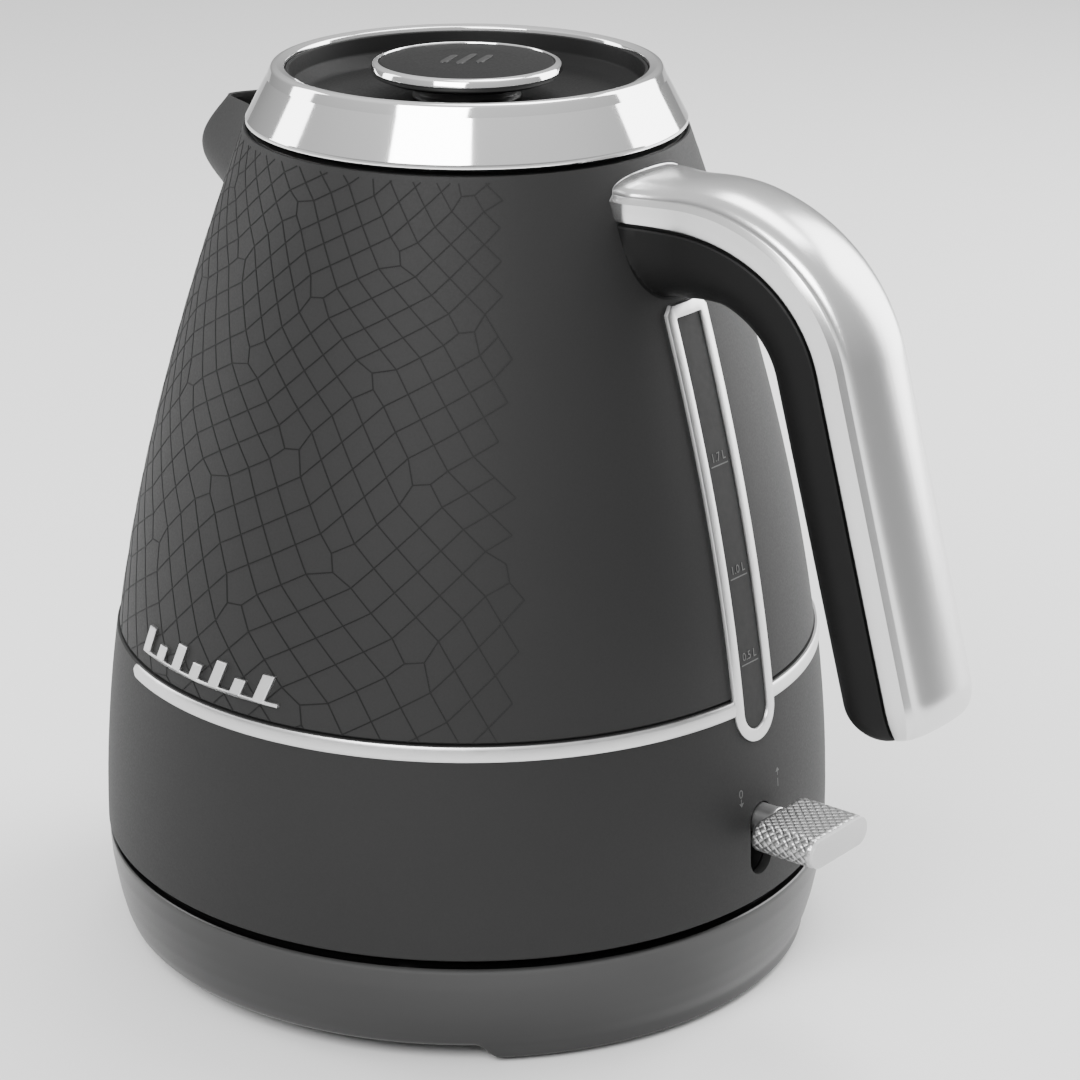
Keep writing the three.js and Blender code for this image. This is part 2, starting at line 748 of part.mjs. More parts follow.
// Sweeps an outline of [side, out] points along the path. outlineAt gives it at a distance.
function sweptHandle(outlineAt, from, to) {
  const side = new THREE.Vector3(0, 1, 0);
  const rings = stations(from, to).map((s) => {
    const u = s / pathLength;
    const [point, tangent] = [path.getPointAt(u), path.getTangentAt(u)];
    const out = new THREE.Vector3().crossVectors(tangent, side).normalize().negate();
    if (out.x + out.z < 0) out.negate();
    return outlineAt(s).map(([y, v]) => point.clone().addScaledVector(side, y).addScaledVector(out, v));
  });
  return lofted(rings);
}

const mirrored = (half) => [...half, ...half.map(([y, v]) => [-y, v]).reverse()];

// The handle is wider at its root.
function halfWidthAt(s) {
  const t = THREE.MathUtils.clamp((s - rootInside) / 14, 0, 1);
  return THREE.MathUtils.lerp(handleRootHalfWidth, handleHalfWidth, t * (2 - t));
}

function shellOutline(inset, end) {
  return (s) => {
    const share = endShare(s, end);
    const w = (halfWidthAt(s) - inset) * (0.7 + 0.3 * share);
    const h = (shellDepth - inset) * share;
    return mirrored([
      [w, inset ? -1 : gap / 2],
      [w - 0.5, h * 0.48],
      [w - 1.8, h * 0.58],
      [w * 0.62, h * 0.86],
      [w * 0.32, h * 0.97],
    ]);
  };
}

function gripDepthAt(s) {
  const t = THREE.MathUtils.clamp((s - rootInside) / 30, 0, 1);
  return THREE.MathUtils.lerp(gripRootDepth, gripDepth, t);
}

function gripOutline(inset, end) {
  return (s) => {
    const share = endShare(s, end);
    const depth = gripDepthAt(s);
    const w = (halfWidthAt(s) - inset) * (0.7 + 0.3 * share) - 0.2;
    const h = (depth - inset) * share;
    return mirrored([
      [w, inset ? 1 : -gap / 2],
      [w - 0.3, -h * 0.42],
      [w * 0.86, -h * 0.74],
      [w * 0.6, -h * 0.94],
      [w * 0.28, -h],
    ]).reverse();
  };
}

function handlePieces() {
  const clear = bodyEnvelope(gap);
  const shell = sweptHandle(shellOutline(0, pathLength), 0, pathLength)
    .subtract(sweptHandle(shellOutline(handleWall, hollowEnd), 0, hollowEnd))
    .subtract(clear);
  const grip = sweptHandle(gripOutline(0, pathLength), 0, pathLength)
    .subtract(sweptHandle(gripOutline(handleWall, hollowEnd), 0, hollowEnd))
    .subtract(clear);
  const coreOutline = () => mirrored([[coreHalfWidth, coreTop], [coreHalfWidth, coreTop - coreDepth]]);
  const core = sweptHandle(coreOutline, 0, coreEnd).subtract(clear);
  return { shell, grip, core };
}

// A hole for a screw: wide below the origin for its head, narrow above it for its shank.
const screwHole = (length) =>
  cylinder(screwHead + gap, -20, gap).add(cylinder(shank + gap, -20, length + 1));

function addHandle() {
  const { shell, grip, core } = handlePieces();
  // One screw comes up from under the root, the other along the free end.
  const rootX0 = rootX + handleStub + 4;
  const rootAt = [rootX0, 0, rootZ - gripDepthAt(rootX0 - rootX + rootInside) + screwSeat];
  const rootLength = gripRootDepth - coreDepth + coreTop + 4;
  const outward = new THREE.Vector3(Math.cos(lean), 0, Math.sin(lean));
  const middleOfCore = coreTop - coreDepth / 2 - 1;
  const endAt = path.getPointAt(1).addScaledVector(down, -endScrewDepth)
    .addScaledVector(outward, middleOfCore).toArray();
  const endLength = pathLength - coreEnd - endScrewDepth + 6;
  const rootHole = screwHole(rootLength).translate(rootAt);
  const endHole = screwHole(endLength).rotate([0, -handleLean, 0]).translate(endAt);
  const [shellHoled, gripHoled, coreHoled] = [
    shell.subtract(endHole),
    grip.subtract(rootHole).subtract(endHole),
    core.subtract(rootHole).subtract(endHole),
  ];
  add(kettle, "handle_shell", shellHoled, satinChrome);
  add(kettle, "handle_grip", gripHoled, blackPlastic);
  add(kettle, "handle_core", coreHoled, steel);
  const rootScrew = screw(screwHead, 1.2, shank, rootLength);
  add(kettle, "handle_screw_root", rootScrew, steel).position.set(...rootAt);
  const endScrew = add(kettle, "handle_screw_end", screw(screwHead, 1.2, shank, endLength), steel);
  endScrew.position.set(...endAt);
  endScrew.rotation.y = -lean;
}

// ---------------------------------------------------------------- kettle's own pieces

const gauge = gaugePieces();
add(kettle, "vessel", makeVessel(), charcoal);
add(kettle, "lower_shell", makeLowerShell(), charcoal);
add(kettle, "bottom_cover", makeBottomCover(), blackPlastic);
shellPosts.forEach(([x, y], i) => {
  add(kettle, `cover_screw_${i + 1}`, screw(3, 1.2, 1.5, 11), steel).position.set(x, y, bodyBottom - gap);
});
add(kettle, "trim_band_left", trimBand(-1), chrome);
add(kettle, "trim_band_right", trimBand(1), chrome);
add(kettle, "emblem", makeEmblem(), chrome);
add(kettle, "gauge_frame", gauge.frame, chrome);
add(kettle, "gauge_window", gauge.window, smoked);
add(kettle, "gauge_seal", gauge.seal, silicone);
add(kettle, "spout", makeSpout(), charcoal);
add(kettle, "spout_filter", makeStrainer(), steel);
add(kettle, "neck_collar", makeCollar(), blackPlastic);
addHandle();

// ---------------------------------------------------------------- heater, control and steam path

const spreaderTop = floorHeight - gap;
const spreaderBottom = spreaderTop - 3.5;
const elementRadius = 48;
const elementTube = 3.5;
const controlBottom = connectorTop + 0.4;
const steamAngle = radians(22);
const steamBore = 2.6;
const steamRadius = 4;
const steamTop = bodyTop - 20;
const steamBottom = floorHeight - 15;
const plateRadius = stepRadius - vesselWall - gap;

// The steam tube leans with the wall, close inside it.
function steamTube(outer, inner) {
  const at = (z, r) => new THREE.Vector3(r * Math.cos(steamAngle), r * Math.sin(steamAngle), z);
  const top = at(steamTop, vesselInsideAt(steamTop) - steamRadius - 1.5);
  const bottom = at(steamBottom, plateRadius - steamRadius - 2.5);
  const section = new THREE.Shape().absarc(0, 0, outer, 0, 2 * Math.PI, false);
  if (inner) section.holes.push(new THREE.Path().absarc(0, 0, inner, 0, 2 * Math.PI, true));
  const extrudePath = new THREE.LineCurve3(bottom, top);
  return solid(new THREE.ExtrudeGeometry(section, { steps: 1, extrudePath, curveSegments: 6 }));
}

function makeElement() {
  const middle = spreaderBottom - gap - elementTube;
  const section = steps(0, 2 * Math.PI, 8).slice(0, 8).map((a) => [
    elementRadius + elementTube * Math.cos(a),
    middle + elementTube * Math.sin(a),
  ]);
  return swept(section, -150, 150, 24);
}

function makeControl() {
  return turned([
    [0, controlBottom],
    [24, controlBottom],
    [24, controlBottom + 16],
    [15, controlBottom + 16],
    [15, spreaderBottom - gap],
    [0, spreaderBottom - gap],
  ], medium);
}

const plate = cylinder(plateRadius, floorHeight, floorHeight + floorThickness, fine);
add(kettle, "heater_plate", plate.subtract(steamTube(steamRadius + gap, 0)), steel);
const sealTop = floorHeight - gap;
const sealFoot = vesselFoot + vesselWall + gap;
add(kettle, "vessel_seal", tube(plateRadius - 2.4, plateRadius, sealFoot, sealTop), silicone);
add(kettle, "heat_spreader", cylinder(62, spreaderBottom, spreaderTop, medium), aluminium);
add(kettle, "element_ring", makeElement(), aluminium);
add(kettle, "thermostat_control", makeControl(), blackPlastic);
add(kettle, "steam_tube", steamTube(steamRadius, steamBore), blackPlastic);

// ---------------------------------------------------------------- switch

const pivotX = bodyAt(leverHeight) - leverArm;
const hubHalf = leverRadius + 0.2; // half the hub's length along the pin
const bracketHalf = 9;

// A piece made along +Z from the origin, turned to lie along Y through the middle.
const alongY = (shape) => shape.rotate([90, 0, 0]);

function makeBracket() {
  const block = box(
    [pivotX - 26, -bracketHalf, controlBottom],
    [pivotX + 8, bracketHalf, leverHeight + 8],
  );
  const slot = box([pivotX - 9, -hubHalf - gap, 0], [pivotX + 20, hubHalf + gap, leverHeight + 20]);
  const hole = alongY(cylinder(pinRadius + gap, -20, 20)).translate([pivotX, 0, leverHeight]);
  return block.subtract(slot).subtract(hole);
}

// A flat block along +X whose section is a stadium, wide along Y.
function stadiumBlock(halfWidth, thickness, x0, x1) {
  const half = thickness / 2;
  const shape = new THREE.Shape();
  shape.absarc(halfWidth - half, 0, half, -Math.PI / 2, Math.PI / 2, false);
  shape.absarc(half - halfWidth, 0, half, Math.PI / 2, (3 * Math.PI) / 2, false);
  const geometry = new THREE.ExtrudeGeometry(shape, { depth: x1 - x0, bevelEnabled: false, curveSegments: 8 });
  geometry.applyMatrix4(new THREE.Matrix4().makeBasis(
    new THREE.Vector3(0, 1, 0),
    new THREE.Vector3(0, 0, 1),
    new THREE.Vector3(1, 0, 0),
  ));
  return solid(geometry.translate(x0, 0, 0));
}

const paddleX = leverArm + paddleStart;
const socketDepth = 6;
function makeArm() {
  const hub = alongY(cylinder(hubRadius, -hubHalf, hubHalf, medium));
  const rod = alongX(cylinder(leverRadius, 0, paddleX + socketDepth - gap, medium), 0, 0);
  return hub.add(rod).subtract(alongY(cylinder(pinRadius + gap, -20, 20)));
}

lever.position.set(pivotX, 0, leverHeight);
add(kettle, "switch_bracket", makeBracket(), blackPlastic);
const pin = alongY(cylinder(pinRadius, -bracketHalf + 0.5, bracketHalf - 0.5));
add(kettle, "lever_pin", pin, steel).position.set(pivotX, 0, leverHeight);
add(lever, "lever_arm", makeArm(), blackPlastic);
const socket = alongX(cylinder(leverRadius + gap, -1, socketDepth, medium), paddleX, 0);
const paddle = stadiumBlock(paddleHalfWidth, paddleThickness, paddleX, paddleX + paddleLength);
add(lever, "lever_paddle", paddle.subtract(socket), chrome);
const capX = paddleX + paddleLength + gap;
const endCap = stadiumBlock(paddleHalfWidth - 0.3, paddleThickness - 0.6, capX, capX + endCapThickness);
add(lever, "lever_end_cap", endCap, satinChrome);

// ---------------------------------------------------------------- lid

const ringBottom = bodyTop + ringSeat;
const ringTop = ringBottom + ringHeight;
const dishFloor = ringTop - dishDepth;
const dishRadius = ringInnerRadius - gap;
const knobZ = bodyTop + knobTop;
const knobFoot = knobZ - knobThickness;
const plugRadius = collarRadius - 0.8;
const plugTop = ringBottom - gap;
const plugFoot = bodyTop - collarHeight - 0.5;
const lidScrewLength = 6;
const sealHeight = 3.4;

function makeLidRing() {
  return turned([
    [ringRadius, ringBottom],
    [ringRadius - 0.3, ringBottom + 1.2],
    [ringTopRadius + 1.2, ringTop - 4.3],
    [ringTopRadius - 0.2, ringTop - 1.8],
    [ringTopRadius - 1.9, ringTop - 0.3],
    [ringInnerRadius + 1, ringTop],
    [ringInnerRadius, ringTop - 0.6],
    [ringInnerRadius, ringTop - 2.4],
    [ringInnerRadius + 1.6, ringTop - 2.4],
    [ringTopRadius - 1.6, ringTop - 4.6],
    [ringRadius - 2.2, ringBottom],
  ]);
}

function makeDish() {
  const wall = 2;
  const flange = ringRadius - 3.8;
  const hole = cylinder(2 + gap, dishFloor - 9, dishFloor + 1);
  return turned([
    [0, dishFloor - wall],
    [dishRadius - wall, dishFloor - wall],
    [dishRadius - wall, ringBottom],
    [flange, ringBottom],
    [flange, ringBottom + wall],
    [dishRadius, ringBottom + wall],
    [dishRadius, ringTop - 1],
    [dishRadius - 1.2, ringTop - 1],
    [dishRadius - wall, dishFloor + wall],
    [dishRadius - 2 * wall, dishFloor],
    [0, dishFloor],
  ]).subtract(hole);
}

function makePlug() {
  const sealGroove = plugFoot + 3;
  return turned([
    [0, plugTop - plugWall],
    [plugRadius - plugWall, plugTop - plugWall],
    [plugRadius - plugWall, plugFoot],
    [plugRadius, plugFoot],
    [plugRadius, sealGroove],
    [plugRadius - 1, sealGroove],
    [plugRadius - 1, sealGroove + sealHeight],
    [plugRadius, sealGroove + sealHeight],
    [plugRadius, plugTop],
    [0, plugTop],
  ], medium);
}

function makeLidSeal() {
  const foot = plugFoot + 3 + gap;
  return tube(plugRadius - 1 + gap, collarRadius - gap, foot, foot + sealHeight - 2 * gap, medium);
}

function makeStem() {
  const disc = knobRadius - 2.4;
  return turned([
    [0, dishFloor + gap],
    [stemRadius, dishFloor + gap],
    [stemRadius, knobFoot - gap],
    [disc, knobFoot],
    [disc, knobFoot + 1.6],
    [0, knobFoot + 1.6],
  ], medium).subtract(cylinder(2 + gap, 0, dishFloor + lidScrewLength));
}

function makeKnobRing() {
  return turned([
    [knobRadius - 2.1, knobFoot],
    [knobRadius - 0.7, knobFoot + 0.8],
    [knobRadius, knobFoot + 2.3],
    [knobRadius - 0.5, knobZ - 1.1],
    [knobRadius - 1.3, knobZ - 0.5],
    [knobRadius - 1.6, knobZ - 1.2],
    [knobRadius - 1.6, knobFoot + 1.9],
    [knobRadius - 2.1, knobFoot + 1.6],
  ], medium);
}

function makeKnobCap() {
  const radius = knobRadius - 1.6 - gap;
  return turned([
    [0, knobFoot + 1.9],
    [radius, knobFoot + 1.9],
    [radius, knobZ - 0.9],
    [radius - 0.8, knobZ - 0.3],
    [radius * 0.8, knobZ],
    [0, knobZ],
  ], medium);
}

add(lid, "lid_ring", makeLidRing(), chrome);
add(lid, "lid_dish", makeDish(), blackPlastic);
add(lid, "lid_plug", makePlug(), blackPlastic);
add(lid, "lid_seal", makeLidSeal(), silicone);
const lidScrew = screw(3.6, 1.4, 2, lidScrewLength);
add(lid, "lid_screw", lidScrew, steel).position.z = dishFloor - 2 - gap;
add(lid, "knob_stem", makeStem(), blackPlastic);
add(lid, "knob_ring", makeKnobRing(), chrome);
add(lid, "knob_cap", makeKnobCap(), blackPlastic);

export default kettleOnBase;
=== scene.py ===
"""The looks of an electric kettle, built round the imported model. Metres, +Z up, the handle on the +X side."""

import json
import math

import bmesh
import bpy
import numpy as np
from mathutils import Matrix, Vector


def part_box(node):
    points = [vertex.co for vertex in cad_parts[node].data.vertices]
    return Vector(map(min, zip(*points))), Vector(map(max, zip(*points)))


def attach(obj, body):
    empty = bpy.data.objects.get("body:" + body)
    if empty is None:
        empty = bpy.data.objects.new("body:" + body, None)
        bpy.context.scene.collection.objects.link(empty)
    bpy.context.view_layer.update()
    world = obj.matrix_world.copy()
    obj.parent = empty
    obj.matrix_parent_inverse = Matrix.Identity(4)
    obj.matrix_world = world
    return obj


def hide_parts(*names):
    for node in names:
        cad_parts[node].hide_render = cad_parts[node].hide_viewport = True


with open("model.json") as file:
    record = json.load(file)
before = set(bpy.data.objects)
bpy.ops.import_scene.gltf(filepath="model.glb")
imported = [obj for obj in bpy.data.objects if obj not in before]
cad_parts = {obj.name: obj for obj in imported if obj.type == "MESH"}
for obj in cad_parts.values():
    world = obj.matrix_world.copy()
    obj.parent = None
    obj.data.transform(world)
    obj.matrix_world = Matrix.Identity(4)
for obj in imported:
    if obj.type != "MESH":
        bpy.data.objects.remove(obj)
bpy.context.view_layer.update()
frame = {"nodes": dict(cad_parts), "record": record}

MM = 0.001
TAU = 2 * math.pi

# ---------------------------------------------------------------- sizes, from the frame


def box(node):
    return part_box(node)


def top(node):
    return box(node)[1][2]


def foot(node):
    return box(node)[0][2]


def radius(node):
    """Half a round node's width, on the Y axis."""
    low, high = box(node)
    return (high[1] - low[1]) / 2


GAP = 0.3 * MM
BODY_RADIUS = radius("lower_shell")
BODY_FOOT = foot("lower_shell")
BODY_TOP = top("vessel")
NECK_RADIUS = radius("lid_ring") + 0.9 * MM
SEAM = top("lower_shell")
FULLNESS = 0.29  # how far the flank swells beyond a parabola
SEAM_STEP = 0.5 * MM
WALL = 1.2 * MM
HOUSING_WALL = 2.5 * MM
SEGMENTS = 240

ROOT_Z = BODY_TOP - 13.3 * MM  # the handle's parting line at the body
HANDLE_HALF = 13.7 * MM
HANDLE_ROOT_HALF = 16.2 * MM
SHELL_DEPTH = 12.45 * MM
GRIP_DEPTH = 17 * MM
GRIP_ROOT_DEPTH = 20.8 * MM
LEAN = math.radians(16.1)

GAUGE_HALF = radius("gauge_frame")
GAUGE_FOOT = foot("gauge_frame")
GAUGE_TOP = top("gauge_frame")
GAUGE_LINE = 3.2 * MM

SPOUT_FOOT = 189 * MM
SPOUT_NOSE = -box("spout")[0][0]
SPOUT_NOSE_Z = 205 * MM
SPOUT_LIP = 83.5 * MM
SPOUT_LIP_Z = 220 * MM
SPOUT_HALF = 21.5 * MM


def body_at(z):
    """The outer radius of the body at a height."""
    t = (z - BODY_FOOT) / (BODY_TOP - BODY_FOOT)
    return BODY_RADIUS - (BODY_RADIUS - NECK_RADIUS) * t * t * (1 + FULLNESS * (1 - t))


def vessel_at(z):
    return body_at(z) - SEAM_STEP


def spread(a, b, count):
    """Evenly spaced numbers from a to b."""
    return [a + (b - a) * i / count for i in range(count + 1)]


def smooth(t):
    t = min(1, max(0, t))
    return t * t * (3 - 2 * t)


# ---------------------------------------------------------------- camera

CAMERA_ANGLE = math.radians(-50.7)  # from +X, round the kettle's axis
CAMERA_DISTANCE = 0.8479
CAMERA_HEIGHT = 0.4183
CAMERA_PITCH = math.radians(20.08)
CAMERA_LENS = 110.9
CAMERA_SHIFT = 0.0678


def make_camera():
    data = bpy.data.cameras.new("camera")
    data.lens = CAMERA_LENS
    data.sensor_width = 36
    data.shift_x = CAMERA_SHIFT
    data.clip_end = 20
    camera = bpy.data.objects.new("camera", data)
    bpy.context.collection.objects.link(camera)
    camera.location = (
        CAMERA_DISTANCE * math.cos(CAMERA_ANGLE),
        CAMERA_DISTANCE * math.sin(CAMERA_ANGLE),
        CAMERA_HEIGHT,
    )
    camera.rotation_euler = (math.pi / 2 - CAMERA_PITCH, 0, CAMERA_ANGLE + math.pi / 2)
    bpy.context.scene.camera = camera


make_camera()

# ---------------------------------------------------------------- materials


class Shader:
    """A material's node tree, with short calls for the nodes used here."""

    def __init__(self, name):
        self.material = bpy.data.materials.new(name)
        self.material.use_nodes = True
        self.tree = self.material.node_tree
        self.surface = self.tree.nodes["Principled BSDF"]

    def node(self, kind, **values):
        node = self.tree.nodes.new(kind)
        for key, value in values.items():
            if hasattr(node, key):
                setattr(node, key, value)
            else:
                node.inputs[key.replace("_", " ")].default_value = value
        return node

    def link(self, source, target):
        self.tree.links.new(source, target)

    def set(self, **values):
        for key, value in values.items():
            self.surface.inputs[key.replace("_", " ")].default_value = value

    def place(self, stretch=(1, 1, 1)):
        """Object coordinates, stretched."""
        where = self.node("ShaderNodeTexCoord")
        mapping = self.node("ShaderNodeMapping")
        mapping.inputs["Scale"].default_value = stretch
        self.link(where.outputs["Object"], mapping.inputs["Vector"])
        return mapping.outputs["Vector"]

    def noise(self, scale, detail=3, stretch=(1, 1, 1)):
        noise = self.node("ShaderNodeTexNoise", Scale=scale, Detail=detail)
        self.link(self.place(stretch), noise.inputs["Vector"])
        return noise.outputs["Fac"]

    def ramp(self, source, low, high, start=0.3, end=0.7):
        """A value or colour that runs from low to high as source goes from start to end."""
        ramp = self.node("ShaderNodeValToRGB")
        ends = ramp.color_ramp.elements
        as_colour = lambda c: (*c, 1) if isinstance(c, tuple) else (c, c, c, 1)
        ends[0].position, ends[0].color = start, as_colour(low)
        ends[1].position, ends[1].color = end, as_colour(high)
        self.link(source, ramp.inputs["Fac"])
        return ramp.outputs["Color"]

    def bump(self, source, strength, distance):
        bump = self.node("ShaderNodeBump", Strength=strength, Distance=distance)
        self.link(source, bump.inputs["Height"])
        self.link(bump.outputs["Normal"], self.surface.inputs["Normal"])


def grey(value, warmth=0.0):
    return (value * (1 + warmth), value, value * (1 - warmth))


def coated(name, tone, roughness, grain=1800, bump=0.12, coat=0.0, shine=0.5):
    """Paint, plastic or rubber: a fine grain with slightly uneven tone and gloss."""
    shader = Shader(name)
    broad = shader.noise(14, 2)
    fine = shader.noise(grain, 4)
    tint = shader.ramp(broad, grey(tone * 0.95), grey(tone * 1.05))
    shader.link(tint, shader.surface.inputs["Base Color"])
    gloss = shader.ramp(fine, roughness - 0.05, roughness + 0.05)
    shader.link(gloss, shader.surface.inputs["Roughness"])
    shader.set(Coat_Weight=coat, Coat_Roughness=0.25)
    shader.surface.inputs["Specular IOR Level"].default_value = shine
    shader.bump(fine, bump, 0.02 * MM)
    return shader.material


def metal(name, tone, roughness, brush=(1, 1, 1), grain=900, bump=0.05, warmth=0.0):
    """Bare or plated metal, brushed along the axis whose stretch is smallest."""
    shader = Shader(name)
    lines = shader.noise(grain, 4, brush)
    broad = shader.noise(9, 2)
    tint = shader.ramp(broad, grey(tone * 0.97, warmth), grey(tone * 1.02, warmth))
    shader.link(tint, shader.surface.inputs["Base Color"])
    gloss = shader.ramp(lines, roughness * 0.92, roughness * 1.08)
    shader.link(gloss, shader.surface.inputs["Roughness"])
    shader.set(Metallic=1.0)
    if bump:
        shader.bump(lines, bump, 0.01 * MM)
    return shader.material


BODY_TONE = 0.0125
CHARCOAL = coated("charcoal_coating", BODY_TONE, 0.62, shine=0.25)
GRIP = coated("dark_plastic", 0.005, 0.5, grain=1400, bump=0.1, shine=0.15)
DISH = coated("lid_plastic", 0.006, 0.55, grain=1500, bump=0.06, shine=0.15)
BLACK = coated("black_plastic", 0.008, 0.45, grain=1200, bump=0.1)
RUBBER = coated("rubber", 0.02, 0.8, grain=700, bump=0.3)
SILICONE = coated("silicone", 0.5, 0.5, grain=500, bump=0.1)
WINDOW = coated("smoked_window", 0.018, 0.55, grain=600, bump=0.01, shine=0.15)


PALE = coated("pale_satin", 0.5, 0.4, bump=0.02)


def fading_lines():
    """Dark lines that fade into the coating, by the mesh's own fade colour."""
    shader = Shader("pattern_groove")
    fade = shader.node("ShaderNodeAttribute", attribute_name="fade")
    broad = shader.noise(14, 2)
    tint = shader.ramp(broad, grey(BODY_TONE * 0.95), grey(BODY_TONE * 1.05))
    mix = shader.node("ShaderNodeMix", data_type="RGBA")
    shader.link(fade.outputs["Fac"], mix.inputs[0])
    shader.link(tint, mix.inputs[6])
    mix.inputs[7].default_value = (0.004, 0.004, 0.004, 1)
    shader.link(mix.outputs[2], shader.surface.inputs["Base Color"])
    shader.surface.inputs["Specular IOR Level"].default_value = 0.18
    shader.set(Roughness=0.62)
    return shader.material


LINES = fading_lines()
PRINT = coated("grey_print", 0.07, 0.6, bump=0.05)
CHROME = metal("chrome", 0.88, 0.07, grain=300, bump=0.0)
FRAME = metal("frame_chrome", 0.62, 0.36, grain=300, bump=0.0)
KNURL = metal("knurled_chrome", 0.42, 0.3, grain=700, bump=0.01)
SATIN = metal("satin_chrome", 0.68, 0.24, grain=2600, bump=0.008)
SKIRT = metal("skirt_metal", 0.065, 0.34, grain=2600, bump=0.0)
STEEL = metal("steel", 0.6, 0.35, grain=1200)
ALUMINIUM = metal("aluminium", 0.7, 0.45, grain=500, bump=0.2)
BRASS = metal("contact_brass", 0.55, 0.3, warmth=0.3)

# ---------------------------------------------------------------- mesh tools


def piece(name, vertices, faces, material, body, slot, replaced=(), sharp=32, colours=None):
    """A smooth-shaded mesh that rides on a body and may stand for CAD nodes."""
    mesh = bpy.data.meshes.new(name)
    mesh.from_pydata([tuple(v) for v in vertices], [], [tuple(f) for f in faces])
    if colours is not None:
        layer = mesh.color_attributes.new("fade", "FLOAT_COLOR", "POINT")
        layer.data.foreach_set("color", [c for value in colours for c in (value, value, value, 1)])
    tidy(mesh)
    obj = bpy.data.objects.new(name, mesh)
    bpy.context.collection.objects.link(obj)
    mesh.shade_smooth()
    mesh.set_sharp_from_angle(angle=math.radians(sharp))
    mesh.materials.append(material)
    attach(obj, body)
    if replaced:
        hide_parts(*replaced)
    return obj


def tidy(mesh):
    """Merges points that coincide, drops faces of no area and turns the faces outwards."""
    work = bmesh.new()
    work.from_mesh(mesh)
    bmesh.ops.remove_doubles(work, verts=work.verts, dist=1e-7)
    bmesh.ops.dissolve_degenerate(work, edges=work.edges, dist=1e-8)
    bmesh.ops.recalc_face_normals(work, faces=work.faces)
    work.to_mesh(mesh)
    work.free()


def grid_faces(rows, columns, wrap_rows=False, wrap_columns=False):
    faces = []
    for i in range(rows if wrap_rows else rows - 1):
        for j in range(columns if wrap_columns else columns - 1):
            a = i * columns + j
            b = i * columns + (j + 1) % columns
            c = ((i + 1) % rows) * columns + (j + 1) % columns
            d = ((i + 1) % rows) * columns + j
            faces.append((a, b, c, d))
    return faces


def filleted(points, closed=True, arc=5):
    """A profile of (r, z) or (r, z, fillet radius) points with its corners rounded."""
    result = []
    count = len(points)
    for i, point in enumerate(points):
        here = np.array(point[:2])
        fillet = point[2] if len(point) > 2 else 0
        inner = closed or 0 < i < count - 1
        if not fillet or not inner:
            result.append(tuple(here))
            continue
        before = np.array(points[i - 1][:2]) - here
        after = np.array(points[(i + 1) % count][:2]) - here
        reach_before, reach_after = np.linalg.norm(before), np.linalg.norm(after)
        before, after = before / reach_before, after / reach_after
        half = math.acos(max(-1, min(1, float(before @ after)))) / 2
        reach = min(fillet / math.tan(half), reach_before * 0.49, reach_after * 0.49)
        start, end = here + before * reach, here + after * reach
        for t in spread(0, 1, arc):
            weight = (1 - t) ** 2, 2 * t * (1 - t) * math.sin(half) ** 0.5 * 1.0, t * t
            total = sum(weight)
            result.append(tuple((start * weight[0] + here * weight[1] + end * weight[2]) / total))
    return result


def lathe(name, profile, material, body, slot, replaced=(), closed=True, segments=SEGMENTS, **more):
    """A profile of (r, z) or (r, z, fillet) points in metres, turned about the Z axis."""
    outline = filleted(profile, closed)
    vertices = [
        (r * math.cos(TAU * i / segments), r * math.sin(TAU * i / segments), z)
        for i in range(segments)
        for r, z in outline
    ]
    faces = grid_faces(segments, len(outline), wrap_rows=True, wrap_columns=closed)
    return piece(name, vertices, faces, material, body, slot, replaced, **more)


def on_body(y, z, proud, angle=0.0):
    """The point on the vessel's outer face, y across from an angle, and proud of it by a distance."""
    r = vessel_at(z) + proud
    turn = angle + y / r
    return (r * math.cos(turn), r * math.sin(turn), z)


# ---------------------------------------------------------------- body: vessel, spout and lower shell


def nose_at(z):
    """How far the beak's edge reaches from the axis at a height."""
    below = z < SPOUT_NOSE_Z
    end, reach = (SPOUT_FOOT, vessel_at(SPOUT_FOOT)) if below else (SPOUT_LIP_Z, SPOUT_LIP)
    t = np.clip((z - SPOUT_NOSE_Z) / (end - SPOUT_NOSE_Z), 0, 1.4)
    return SPOUT_NOSE - (SPOUT_NOSE - reach) * (t**2 if below else 0.35 * smooth(t) + 0.65 * t * t)


def beak_half_at(z):
    t = np.clip((z - SPOUT_FOOT) / (SPOUT_NOSE_Z - SPOUT_FOOT), 0, 1)
    return SPOUT_HALF * math.sqrt(0.08 + 0.92 * t * (2 - t))


def beak_radius(turn, z):
    """The beak's distance from the axis at an angle from its middle: a V with a rounded point."""
    if z <= SPOUT_FOOT:
        return 0
    tip, half = nose_at(z), beak_half_at(z)
    root = math.sqrt(vessel_at(z) ** 2 - half**2)
    across = math.tan(abs(turn))
    rounding = 0.16
    low, high = 0.0, tip
    for _ in range(18):
        x = (low + high) / 2
        y = x * across
        rise = (math.hypot(y / half, rounding) - rounding) / (math.hypot(1, rounding) - rounding)
        if x < tip - (tip - root) * rise - 1.5 * max(0, y - half):
            low = x
        else:
            high = x
    return low / math.cos(turn)


def skin_radius(turn, z):
    """The body with its beak, blended where they meet. turn is measured from the spout's middle."""
    body = vessel_at(z)
    if abs(turn) > 0.8 or z <= SPOUT_FOOT:
        return body
    beak = beak_radius(turn, z)
    blend = 3 * MM * smooth((z - SPOUT_FOOT) / (10 * MM)) * smooth((0.8 - abs(turn)) / 0.3)
    mixed = 0.5 * (body + beak + math.hypot(body - beak, blend))
    return mixed if blend else max(body, beak)


def rim_z(r):
    """The height of the top edge: level round the neck, dipping to the lip along the beak."""
    share = smooth((r - NECK_RADIUS) / (6 * MM))
    slope = (r - NECK_RADIUS) / (SPOUT_LIP - NECK_RADIUS)
    return BODY_TOP - share * (BODY_TOP - SPOUT_LIP_Z) * min(1.1, max(0, slope))


